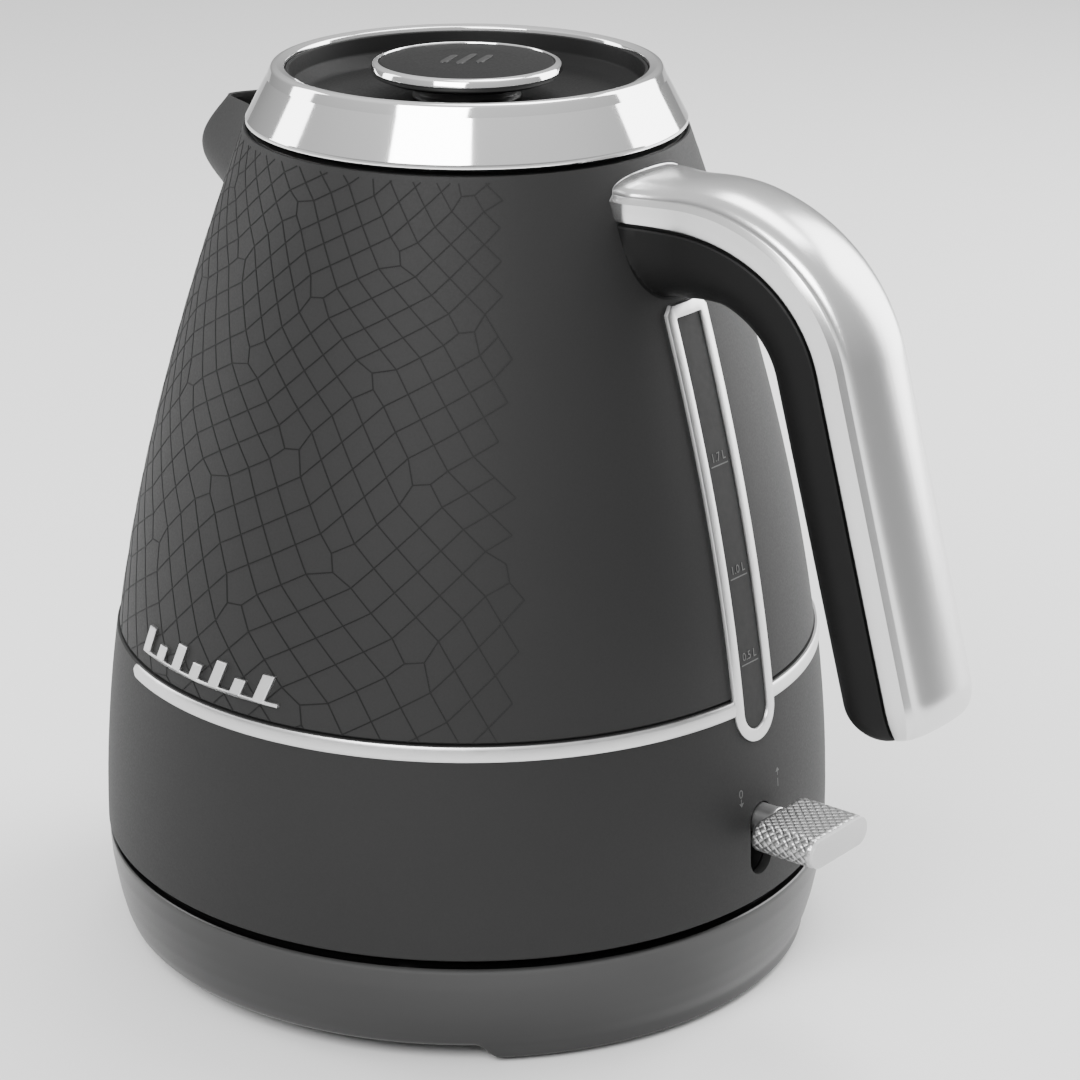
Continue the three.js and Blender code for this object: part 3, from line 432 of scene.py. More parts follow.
def make_vessel():
    """Outer face up, rim, and inner face down, as one closed skin."""
    lip_z = SEAM + GAP
    rows = 100
    count = 360
    step = radius("heater_plate") + GAP
    foot_z = foot("vessel")
    vertices = []
    for i in range(count):
        angle = TAU * i / count
        turn = angle - math.pi
        if i > count / 2:
            skin = skins[count - i]
        else:
            rim = rim_z(skin_radius(turn, SPOUT_LIP_Z))
            heights = spread(lip_z + 0.5 * MM, rim - 0.5 * MM, rows)
            skin = [(skin_radius(turn, z), z) for z in heights]
            skins = [] if i == 0 else skins
            skins.append(skin)
        rim = skin[-1][1] + 0.5 * MM
        reach = skin[-1][0]
        ring = [
            (step - 3 * MM, foot_z),
            (step + WALL, foot_z),
            (step + WALL, lip_z),
            (skin[0][0] - 0.4 * MM, lip_z),
            *skin,
            (reach - 0.15 * MM, rim - 0.12 * MM),
            (reach - WALL / 2, rim),
            (reach - WALL, rim - 0.3 * MM),
            *[(r - WALL, z - MM) for r, z in skin[:2:-1]],
            (step, lip_z + 1.2 * MM),
            (step, foot_z + WALL),
            (step - 3 * MM, foot_z + WALL),
        ]
        vertices += [(r * math.cos(angle), r * math.sin(angle), z) for r, z in ring]
    faces = grid_faces(count, len(ring), wrap_rows=True, wrap_columns=True)
    piece("vessel_body", vertices, faces, CHARCOAL, "kettle", "charcoal_coating", ["vessel", "spout"])


make_vessel()


def thicken(obj):
    """Gives a sheet of marks a thin body of its own, down into what it lies on."""
    change = obj.modifiers.new("thickness", "SOLIDIFY")
    change.thickness = 0.06 * MM
    change.offset = -1


def cut(obj, cutters):
    """Takes the cutters' volume out of a piece for good."""
    for cutter in cutters:
        change = obj.modifiers.new("cut", "BOOLEAN")
        change.object = cutter
        change.solver = "EXACT"
    graph = bpy.context.evaluated_depsgraph_get()
    made = bpy.data.meshes.new_from_object(obj.evaluated_get(graph))
    obj.modifiers.clear()
    obj.data = made
    made.shade_smooth()
    made.set_sharp_from_angle(angle=math.radians(32))
    for cutter in cutters:
        bpy.data.objects.remove(cutter)


def prism(outline, near, far):
    """A loose solid with an outline of (y, z) points, from near to far along X."""
    count = len(outline)
    mesh = bpy.data.meshes.new("cutter")
    vertices = [(x, y, z) for x in (near, far) for y, z in outline]
    sides = [(i, (i + 1) % count, count + (i + 1) % count, count + i) for i in range(count)]
    ends = [tuple(range(count)), tuple(range(2 * count - 1, count - 1, -1))]
    mesh.from_pydata(vertices, [], sides + ends)
    tidy(mesh)
    cutter = bpy.data.objects.new("cutter", mesh)
    bpy.context.collection.objects.link(cutter)
    return cutter


CHAMFER_GROWTH = 2 - math.sqrt(2)  # how a 45 degree corner lengthens as its outline is offset


def gauge_outline(grow, half=GAUGE_HALF, low=GAUGE_FOOT, high=GAUGE_TOP, chamfer=2.2 * MM):
    """The gauge frame's edge, from the middle of its foot up the +Y side and down the other."""
    half, low, high = half + grow, low - grow, high + grow
    chamfer = max(0.3 * MM, chamfer + CHAMFER_GROWTH * grow)
    arc = [(half * math.sin(a), low + half - half * math.cos(a)) for a in spread(0, math.pi / 2, 14)]
    side = [(half, z) for z in spread(low + half, high - chamfer, 44)][1:]
    corner = [(half - chamfer, high)]
    right = arc[1:] + side + corner
    return [arc[0]] + right + [(0, high)] + [(-y, z) for y, z in reversed(right)]


LEVER_Z = (foot("lever_paddle") + top("lever_paddle")) / 2
SLOT_HALF = 4.8 * MM
SLOT_LOW = 38.9 * MM
SLOT_HIGH = 59 * MM


def slot_outline():
    bottom = [
        (SLOT_HALF * math.cos(a), SLOT_LOW + SLOT_HALF + SLOT_HALF * math.sin(a))
        for a in spread(math.pi, TAU, 20)
    ]
    upper = [
        (SLOT_HALF * math.cos(a), SLOT_HIGH - SLOT_HALF + SLOT_HALF * math.sin(a))
        for a in spread(0, math.pi, 20)
    ]
    return bottom + upper


def make_lower_shell():
    heights = spread(BODY_FOOT + 0.5 * MM, SEAM - 0.4 * MM, 24)
    outer = [(body_at(z), z) for z in heights]
    inner = [(body_at(z) - HOUSING_WALL, z) for z in reversed(heights)]
    profile = [
        (body_at(BODY_FOOT) - 0.5 * MM, BODY_FOOT),
        *outer,
        (body_at(SEAM) - 0.4 * MM, SEAM),
        (body_at(SEAM) - HOUSING_WALL + 0.3 * MM, SEAM),
        *inner,
        (body_at(BODY_FOOT) - HOUSING_WALL + 0.3 * MM, BODY_FOOT),
    ]
    shell = lathe("lower_housing", profile, CHARCOAL, "kettle", "charcoal_coating", ["lower_shell"])
    near = BODY_RADIUS - 12 * MM
    far = BODY_RADIUS + 10 * MM
    cut(shell, [prism(slot_outline(), near, far), prism(gauge_outline(0.1 * MM), near, far)])


make_lower_shell()


def make_slot_lining():
    """The dark sleeve round the switch slot, inside the housing's wall."""
    rings = []
    for grow, x in [(1.2, -6), (1.2, -2.6), (0.05, -2.6), (0.05, -14), (1.2, -14)]:
        scale = (SLOT_HALF + grow * MM) / SLOT_HALF
        middle = (SLOT_LOW + SLOT_HIGH) / 2
        reach = (SLOT_HIGH - SLOT_LOW) / 2
        tall = (reach + grow * MM) / reach
        rings.append([
            (BODY_RADIUS - 0.6 * MM + x * MM, y * scale, middle + (z - middle) * tall)
            for y, z in slot_outline()
        ])
    vertices = [p for ring in rings for p in ring]
    faces = grid_faces(len(rings), len(rings[0]), wrap_rows=True, wrap_columns=True)
    piece("slot_lining", vertices, faces, BLACK, "kettle", "black_plastic")


make_slot_lining()


def make_band(side):
    """A trim band on one side, from the gauge's frame to a rounded end."""
    half = 1.9 * MM
    middle = SEAM - 0.1 * MM - half
    start = side * (GAUGE_HALF + 0.1 * MM) / BODY_RADIUS
    end = side * math.radians(116.6)
    r = body_at(middle)
    reach = abs(end) * r
    ring_count = 150
    vertices = []
    for i in range(ring_count + 1):
        t = i / ring_count
        if t > 0.9:  # points closer together towards the rounded end
            t = 1 - (1 - t) ** 2 / 0.1
        along = abs(start) * r + (reach - abs(start) * r) * min(1, t)
        left = max(0.0, min(1.0, (reach - along) / half))
        h = half * math.sqrt(1 - (1 - left) ** 2) + 1e-6
        angle = side * along / r
        section = [
            (-0.9, -h), (0.25, -h), (0.42, -h + 0.25 * MM), (0.5, -h * 0.5), (0.53, 0),
            (0.5, h * 0.5), (0.42, h - 0.25 * MM), (0.25, h), (-0.9, h),
        ]
        for proud, dz in section:
            z = middle + (dz if abs(dz) <= h else math.copysign(h, dz))
            reach_out = body_at(z) + proud * MM
            vertices.append((reach_out * math.cos(angle), reach_out * math.sin(angle), z))
    faces = grid_faces(ring_count + 1, 9, wrap_columns=True)
    faces.append(tuple(range(9)))
    name, node = ("band_left", "trim_band_left") if side < 0 else ("band_right", "trim_band_right")
    piece(name, vertices, faces, FRAME, "kettle", "chrome", [node])


make_band(-1)
make_band(1)

# ---------------------------------------------------------------- water gauge


def frame_on_body(name, outline_at, section, material, body, slot, replaced=(), angle=0.0, filled=False):
    """A frame or plate on the body. section is (inset, proud) points from its outer edge inwards."""
    rings = [[on_body(y, z, proud, angle) for y, z in outline_at(-inset)] for inset, proud in section]
    count = len(rings[0])
    vertices = [p for ring in rings for p in ring]
    faces = grid_faces(len(rings), count, wrap_rows=not filled, wrap_columns=True)
    if filled:
        last = (len(rings) - 1) * count
        for i in range(count // 2):
            a, b = last + i, last + i + 1
            c, d = last + count - 1 - i, last + (count - i) % count
            faces.append((a, b, c, d) if i else (a, b, c))
    return piece(name, vertices, faces, material, body, slot, replaced)


def make_gauge():
    line = GAUGE_LINE
    section = [
        (0, -0.4), (0, 0.9), (0.06, 1.02), (0.2, 1.08),
        (line / MM - 0.2, 1.08), (line / MM - 0.06, 1.02), (line / MM, 0.9), (line / MM, -0.4),
    ]
    section = [(a * MM, b * MM) for a, b in section]
    frame_on_body("gauge_surround", gauge_outline, section, FRAME, "kettle", "chrome", ["gauge_frame"])
    inner = lambda grow: gauge_outline(grow - line - 0.06 * MM, chamfer=0.3 * MM)
    plate = [(0, -0.3 * MM), (0, 0.3 * MM), (0.25 * MM, 0.42 * MM), (0.6 * MM, 0.42 * MM)]
    frame_on_body(
        "gauge_glass", inner, plate, WINDOW, "kettle", "smoked_window", ["gauge_window"], filled=True
    )


make_gauge()


def lettering(text, height):
    """Flat faces of a short text, as vertices (across, up) and faces, in metres."""
    curve = bpy.data.curves.new("lettering", "FONT")
    curve.body = text
    curve.size = height / 0.72
    curve.align_x = "CENTER"
    curve.resolution_u = 3
    writing = bpy.data.objects.new("lettering", curve)
    bpy.context.collection.objects.link(writing)
    mesh = bpy.data.meshes.new_from_object(writing.evaluated_get(bpy.context.evaluated_depsgraph_get()))
    found = [(v.co.x, v.co.y) for v in mesh.vertices], [tuple(p.vertices) for p in mesh.polygons]
    bpy.data.objects.remove(writing)
    return found


def marks_on_body(name, shapes, proud, material, angle=0.0, surface=vessel_at):
    """Thin printed marks: shapes are (points (y, z), faces) that lie on the body."""
    vertices = []
    faces = []
    for points, loops in shapes:
        base = len(vertices)
        for y, z in points:
            r = surface(z) + proud
            turn = angle + y / r
            vertices.append((r * math.cos(turn), r * math.sin(turn), z))
        faces += [tuple(base + i for i in loop) for loop in loops]
    mesh = bpy.data.meshes.new(name)
    mesh.from_pydata(vertices, [], faces)
    obj = bpy.data.objects.new(name, mesh)
    bpy.context.collection.objects.link(obj)
    mesh.materials.append(material)
    thicken(obj)
    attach(obj, "kettle")
    return obj


def bar(y0, y1, z0, z1):
    return [(y0, z0), (y1, z0), (y1, z1), (y0, z1)], [(0, 1, 2, 3)]


def moved(shape, y, z):
    points, faces = shape
    return [(a + y, b + z) for a, b in points], faces


def make_gauge_marks():
    shapes = []
    for text, z in [("0.5 L", 96.7 * MM), ("1.0 L", 119.1 * MM), ("1.7 L", 147.7 * MM)]:
        shapes.append(bar(-3.6 * MM, 3.6 * MM, z - 0.15 * MM, z + 0.15 * MM))
        shapes.append(moved(lettering(text, 2.2 * MM), 0, z + 1.1 * MM))
    marks_on_body("gauge_marks", shapes, 0.46 * MM, PRINT)


make_gauge_marks()


def make_switch_marks():
    def arrow(up, y, z):
        tip = 1.1 * MM if up else -1.1 * MM
        head = [(y - 0.9 * MM, z), (y + 0.9 * MM, z), (y, z + tip)], [(0, 1, 2)]
        return [head, bar(y - 0.12 * MM, y + 0.12 * MM, min(z, z - tip), max(z, z - tip))]

    off = -4.7 * BODY_RADIUS * math.pi / 180
    on = 4.85 * BODY_RADIUS * math.pi / 180
    shapes = [moved(lettering("0", 2.4 * MM), off, 62.6 * MM), *arrow(False, off, 61.2 * MM)]
    shapes += [moved(lettering("I", 2.4 * MM), on, 60.4 * MM), *arrow(True, on, 64.6 * MM)]
    marks_on_body("switch_marks", shapes, 0.04 * MM, PRINT, surface=body_at)


make_switch_marks()

# ---------------------------------------------------------------- emblem and pattern


def make_emblem():
    """A plain ornament: slanted bars standing on a thin line."""
    angle = math.radians(-97.2)
    length, height, low, count = 54 * MM, 7.6 * MM, 93.5 * MM, 7
    pitch = length / count
    outlines = [[(0, low), (length, low), (length, low + 0.9 * MM), (0, low + 0.9 * MM)]]
    for i in range(count):
        tall = height * (0.62 if i % 2 else 1)
        lean = height / 3 * tall / height
        y, width = i * pitch, pitch * 0.45
        outlines.append([
            (y, low + 0.5 * MM), (y + width, low + 0.5 * MM),
            (y + width + lean, low + tall), (y + lean, low + tall),
        ])
    vertices, faces = [], []
    for outline in outlines:
        centre = np.mean(outline, axis=0)
        divided = []
        for k, a in enumerate(outline):
            b = outline[(k + 1) % 4]
            parts = max(1, int(abs(b[0] - a[0]) / (3 * MM)))
            dy, dz = b[0] - a[0], b[1] - a[1]
            divided += [(a[0] + dy * j / parts, a[1] + dz * j / parts) for j in range(parts)]
        base = len(vertices)
        for shrink, proud in [(0, 0), (0, 0.75), (0.22, 1.0)]:
            for y, z in divided:
                toward = centre - (y, z)
                inset = np.sign(toward) * np.minimum(np.abs(toward), shrink * MM)
                vertices.append(on_body(y + inset[0] - length / 2, z + inset[1], proud * MM, angle))
        n = len(divided)
        faces += [tuple(base + i for i in face) for face in grid_faces(3, n, wrap_columns=True)]
        faces.append(tuple(base + 2 * n + i for i in range(n)))
        faces.append(tuple(base + i for i in reversed(range(n))))
    piece("ornament", vertices, faces, FRAME, "kettle", "chrome", ["emblem"])


make_emblem()

PATTERN_ROUND = 70  # cells round the body
PATTERN_SLOPE = math.radians(37)
PATTERN_RUN = 4  # cells between bends
PATTERN_BEND = 0.13  # how far the lines swing from straight, in cells for each cell along
PATTERN_FADE = (math.radians(38.4), math.radians(68))


def pattern_heights():
    """Heights, and how many cells up the flank each one is."""
    zs = spread(SEAM + 0.6 * MM, BODY_TOP - 1.5 * MM, 400)
    cells = [0.0]
    for a, b in zip(zs, zs[1:]):
        run = math.hypot(b - a, vessel_at(b) - vessel_at(a))
        cells.append(cells[-1] + run / vessel_at((a + b) / 2) * PATTERN_ROUND / TAU)
    return np.array(zs), np.array(cells)


def zigzag(count):
    """Up for one run of cells and down for the next."""
    return PATTERN_RUN / 2 - abs(count % (2 * PATTERN_RUN) - PATTERN_RUN)


def make_pattern():
    """Two crossing families of zigzag lines with short jogs at some crossings, fading to the front."""
    zs, cells = pattern_heights()
    along = np.array((math.cos(PATTERN_SLOPE), math.sin(PATTERN_SLOPE)))
    across = np.array((math.sin(PATTERN_SLOPE), -math.cos(PATTERN_SLOPE)))
    reach = 62
    ports = {}
    edges = []
    for i in range(-reach, reach):
        for j in range(-reach, reach):
            middle = along * i + across * j
            middle = middle + PATTERN_BEND * (across * zigzag(i) + along * zigzag(j))
            at_bend = i % PATTERN_RUN == 0 and j % PATTERN_RUN == 0
            level = (i // PATTERN_RUN + j // PATTERN_RUN) % 2 == 0
            jog = np.array((0.3, 0.03) if level else (-0.05, 0.3)) * at_bend
            low, high = middle - jog, middle + jog
            ports[i, j] = {
                "+a": high, "-a": low,
                "+b": high if level else low,
                "-b": low if level else high,
            }
            if at_bend:
                edges.append((low, high))
    for (i, j), port in ports.items():
        if (i + 1, j) in ports:
            edges.append((port["+a"], ports[i + 1, j]["-a"]))
        if (i, j + 1) in ports:
            edges.append((port["+b"], ports[i, j + 1]["-b"]))
    vertices, faces, fades = [], [], []
    half = 0.17 * MM
    for start, end in edges:
        if max(start[1], end[1]) < 0 or min(start[1], end[1]) > cells[-1]:
            continue
        if max(abs(start[0]), abs(end[0])) > PATTERN_ROUND * 0.385:
            continue
        parts = 4
        points = []
        rise = end[1] - start[1]
        limits = (0, 1)
        if abs(rise) > 1e-6:
            limits = sorted(((0 - start[1]) / rise, (cells[-1] - start[1]) / rise))
        for t in spread(max(0, limits[0]), min(1, limits[1]), parts):
            u, v = start + (end - start) * t
            z = float(np.interp(v, cells, zs))
            turn = u * TAU / PATTERN_ROUND
            points.append((turn, z))
        if any(skin_radius(turn, z) > vessel_at(z) + 0.02 * MM for turn, z in points):
            continue
        places = [on_body(0, z, 0.035 * MM, turn + math.pi) for turn, z in points]
        length = math.dist(places[0], places[-1])
        if length < 0.3 * MM:
            continue
        base = len(vertices)
        for k, (turn, z) in enumerate(points):
            here = np.array(places[k])
            ahead = np.array(places[min(k + 1, parts)]) - np.array(places[max(k - 1, 0)])
            normal = np.array((here[0], here[1], 0.35 * math.hypot(here[0], here[1])))
            side = np.cross(normal, ahead)
            side = side / np.linalg.norm(side) * half
            vertices += [tuple(here - side), tuple(here + side)]
            from_front = math.pi - abs(turn)
            fade = smooth((from_front - PATTERN_FADE[0]) / (PATTERN_FADE[1] - PATTERN_FADE[0]))
            fades += [fade, fade]
        for k in range(parts):
            a = base + 2 * k
            faces.append((a, a + 1, a + 3, a + 2))
    mesh = bpy.data.meshes.new("pattern_lines")
    mesh.from_pydata(vertices, [], faces)
    layer = mesh.color_attributes.new("fade", "FLOAT_COLOR", "POINT")
    layer.data.foreach_set("color", [c for value in fades for c in (value, value, value, 1)])
    obj = bpy.data.objects.new("pattern_lines", mesh)
    bpy.context.collection.objects.link(obj)
    mesh.materials.append(LINES)
    thicken(obj)
    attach(obj, "kettle")


make_pattern()

# ---------------------------------------------------------------- handle

DOWN = np.array((math.sin(LEAN), -math.cos(LEAN)))
ROOT_INSIDE = 12 * MM
STUB = 11.6 * MM
BEND_OUT, BEND_DOWN = 44.6 * MM, 28.9 * MM
STRAIGHT = 92 * MM
END_ROUNDING = 9 * MM


def handle_path():
    """Points of the parting line in the XZ plane and how far along each one is."""
    root_x = body_at(ROOT_Z)
    inside = np.array((root_x - ROOT_INSIDE, ROOT_Z + GAP))
    start = np.array((root_x + STUB, ROOT_Z - GAP))
    end = start + (BEND_OUT, -BEND_DOWN)
    first = start + (BEND_OUT * 0.52, 0)
    second = end - DOWN * BEND_DOWN * 0.62
    points = [inside + (start - inside) * t for t in spread(0, 1, 12)[:-1]]
    for t in spread(0, 1, 60):
        u = 1 - t
        points.append(start * u**3 + 3 * first * u * u * t + 3 * second * u * t * t + end * t**3)
    points += [end + DOWN * STRAIGHT * t for t in spread(0, 1, 30)[1:]]
    points = np.array(points)
    steps = np.linalg.norm(np.diff(points, axis=0), axis=1)
    return points, np.concatenate(([0], np.cumsum(steps)))


PATH, PATH_AT = handle_path()
PATH_LENGTH = PATH_AT[-1]


def on_path(s):
    """The point at a distance along the parting line, and the direction outwards from it."""
    here = np.array([np.interp(s, PATH_AT, PATH[:, k]) for k in (0, 1)])
    a, b = max(0, s - 0.6 * MM), min(PATH_LENGTH, s + 0.6 * MM)
    ahead = np.array([np.interp(b, PATH_AT, PATH[:, k]) - np.interp(a, PATH_AT, PATH[:, k]) for k in (0, 1)])
    ahead = ahead / np.linalg.norm(ahead)
    return here, np.array((-ahead[1], ahead[0]))


def half_width_at(s):
    t = min(1, max(0, (s - ROOT_INSIDE) / (14 * MM)))
    return HANDLE_ROOT_HALF + (HANDLE_HALF - HANDLE_ROOT_HALF) * t * (2 - t)


def end_share(s):
    """How much of the section is left near the rounded free end."""
    left = min(1, max(0, (PATH_LENGTH - s) / END_ROUNDING))
    return 0.36 + 0.64 * math.sqrt(1 - (1 - left) ** 2)


def mirrored(right):
    return right + [(-y, v) for y, v in reversed(right)]


def shell_section(s):
    share = end_share(s)
    w = half_width_at(s) * (0.7 + 0.3 * share)
    h = SHELL_DEPTH * share * (0.84 + 0.16 * smooth((s - ROOT_INSIDE) / (26 * MM)))
    ridge = 0.48 * h
    stripe = 1.25 * MM * share
    side = [(w - 0.6 * MM, 0.2 * MM), (w - 0.1 * MM, 0.3 * MM), (w, 0.7 * MM), (w, ridge * 0.55), (w, ridge)]
    rim = [(w - stripe, ridge + 0.9 * stripe), (w - 1.15 * stripe, ridge + 1.1 * stripe)]
    low = ridge + 1.1 * stripe
    crown = [
        ((w - 1.15 * stripe) * math.cos(a) ** 0.86, low + (h - low) * math.sin(a) ** 0.94)
        for a in spread(0, math.pi / 2, 18)[1:]
    ]
    crown[-1] = (0.0005 * MM, h)
    return mirrored(side + rim + crown)


def grip_section(s):
    share = end_share(s)
    t = min(1, max(0, (s - ROOT_INSIDE) / (30 * MM)))
    depth = (GRIP_ROOT_DEPTH + (GRIP_DEPTH - GRIP_ROOT_DEPTH) * t) * share
    w = half_width_at(s) * (0.7 + 0.3 * share) - 0.2 * MM
    neck = [(w - 1.1 * MM, 0.1 * MM), (w - 1.1 * MM, -0.7 * MM), (w - 0.25 * MM, -0.85 * MM), (w, -1.3 * MM)]
    low = 4.5 * MM * share
    flank = [
        (w * math.cos(a) ** 0.72, -low - (depth - low) * math.sin(a) ** 0.86)
        for a in spread(0, math.pi / 2, 20)
    ]
    flank[-1] = (0.0005 * MM, -depth)
    return mirrored(neck + flank)


def sweep_handle(name, section, material, slot, node):
    """Sweeps a section along the parting line, and ends it on the body's face."""
    near = spread(0, 40 * MM, 44)
    middle = spread(40 * MM, PATH_LENGTH - END_ROUNDING, 90)[1:]
    last = [PATH_LENGTH - END_ROUNDING * (1 - math.sin(a)) for a in spread(0, math.pi / 2, 12)][1:]
    rings = []
    for s in near + middle + last:
        here, out = on_path(s)
        ring = []
        for y, v in section(s):
            x, z = here + out * v
            z = min(z, BODY_TOP - 0.2 * MM) if s < 20 * MM else z
            face = vessel_at(min(z, BODY_TOP)) + 0.05 * MM
            on_face = math.sqrt(max(0, face**2 - y * y))
            ring.append((max(x, on_face), y, z))
        rings.append(ring)
    vertices, faces = capped(rings)
    return piece(name, vertices, faces, material, "kettle", slot, [node], sharp=28)


def capped(rings):
    """A skin through rings with its two ends closed by quads from side to side."""
    size = len(rings[0])
    vertices = [point for ring in rings for point in ring]
    faces = grid_faces(len(rings), size, wrap_columns=True)
    for base in (0, len(vertices) - size):
        for i in range(size // 2 - 1):
            faces.append((base + i, base + i + 1, base + size - 2 - i, base + size - 1 - i))
    return vertices, faces


sweep_handle("handle_crown", shell_section, SATIN, "satin_chrome", "handle_shell")
sweep_handle("handle_inner_grip", grip_section, GRIP, "dark_plastic", "handle_grip")

# ---------------------------------------------------------------- switch lever


def stadium(half, tall, inset=0.0, count=24):
    """A rounded block's section, wide across Y, as (y, z) about its middle."""
    r = tall / 2 - inset
    flat = half - tall / 2
    right = [(flat + r * math.sin(a), -r * math.cos(a)) for a in spread(0, math.pi, count)]
    left = [(-y, -z) for y, z in right]
    return right + left


def make_paddle():
    """A block with a knurl of small diamonds all round."""
    low, high = box("lever_paddle")
    length, half, tall = high[0] - low[0], (high[1] - low[1]) / 2, high[2] - low[2]
    r, flat = tall / 2, half - tall / 2
    girth = 4 * flat + TAU * r
    around = 216
    rows = 72
    pitch = girth / 24
    vertices = []
    for i in range(rows + 1):
        x = low[0] + length * i / rows
        edge = smooth(min(i, rows - i) / 3)
        for j in range(around):
            s = girth * j / around
            y, z, ny, nz = stadium_point(s, flat, r)
            u = (s + (x - low[0])) / pitch
            v = (s - (x - low[0])) / pitch
            tooth = min(abs(u % 1 - 0.5), abs(v % 1 - 0.5)) * 2
            cut_in = (0.1 + 0.22 * (1 - smooth(tooth / 0.3))) * edge + 0.4 * (1 - edge)
            vertices.append((x, y - ny * cut_in * MM, LEVER_Z + z - nz * cut_in * MM))
    faces = grid_faces(rows + 1, around, wrap_columns=True)
    faces.append(tuple(range(around)))
    faces.append(tuple(range(len(vertices) - 1, len(vertices) - around - 1, -1)))
    piece("paddle", vertices, faces, KNURL, "switch_lever", "chrome", ["lever_paddle"], sharp=60)


def stadium_point(s, flat, r):
    """A point at a distance round a stadium, and the direction outwards."""
    straight, half_turn = 2 * flat, math.pi * r
    if s < straight:
        return -flat + s, -r, 0, -1
    s -= straight
    if s < half_turn:
        a = s / r
        return flat + r * math.sin(a), -r * math.cos(a), math.sin(a), -math.cos(a)
    s -= half_turn
    if s < straight:
        return flat - s, r, 0, 1
    a = (s - straight) / r
    return -flat - r * math.sin(a), r * math.cos(a), -math.sin(a), math.cos(a)


def make_end_cap():
    low, high = box("lever_end_cap")
    half, tall = (high[1] - low[1]) / 2, high[2] - low[2]
    rings = []
    back, front = low[0], high[0]
    for x, inset in [(back - 0.35 * MM, 0.1), (front - 0.3 * MM, 0), (front - 0.08 * MM, 0.08), (front, 0.3)]:
        rings.append([(x, y, LEVER_Z + z) for y, z in stadium(half, tall, inset * MM)])
    size = len(rings[0])
    vertices = [p for ring in rings for p in ring]
    faces = grid_faces(len(rings), size, wrap_columns=True)
    faces += [tuple(range(size)), tuple(range(len(vertices) - 1, len(vertices) - size - 1, -1))]
    piece("paddle_end", vertices, faces, PALE, "switch_lever", "satin_chrome", ["lever_end_cap"])


def make_lever_shaft():
    """The round shaft between the slot and the paddle, with a collar at the paddle."""
    low, high = box("lever_arm")
    profile = [
        (low[0] + 9 * MM, 4.0), (high[0] - 7.4 * MM, 4.0), (high[0] - 6.9 * MM, 4.15),
        (high[0] - 6.1 * MM, 4.15), (high[0] - 5.9 * MM, 3.95), (high[0] - 0.2 * MM, 3.95),
    ]
    count = 48
    turns = [TAU * k / count for k in range(count)]
    rings = [
        [(x, r * MM * math.cos(turn), LEVER_Z + r * MM * math.sin(turn)) for turn in turns]
        for x, r in profile
    ]
    size = count
    vertices = [p for ring in rings for p in ring]
    faces = grid_faces(len(rings), size, wrap_columns=True)
    faces += [tuple(range(size)), tuple(range(len(vertices) - 1, len(vertices) - size - 1, -1))]
    piece("lever_shaft", vertices, faces, STEEL, "switch_lever", "steel")


make_paddle()
make_end_cap()
make_lever_shaft()

# ---------------------------------------------------------------- lid


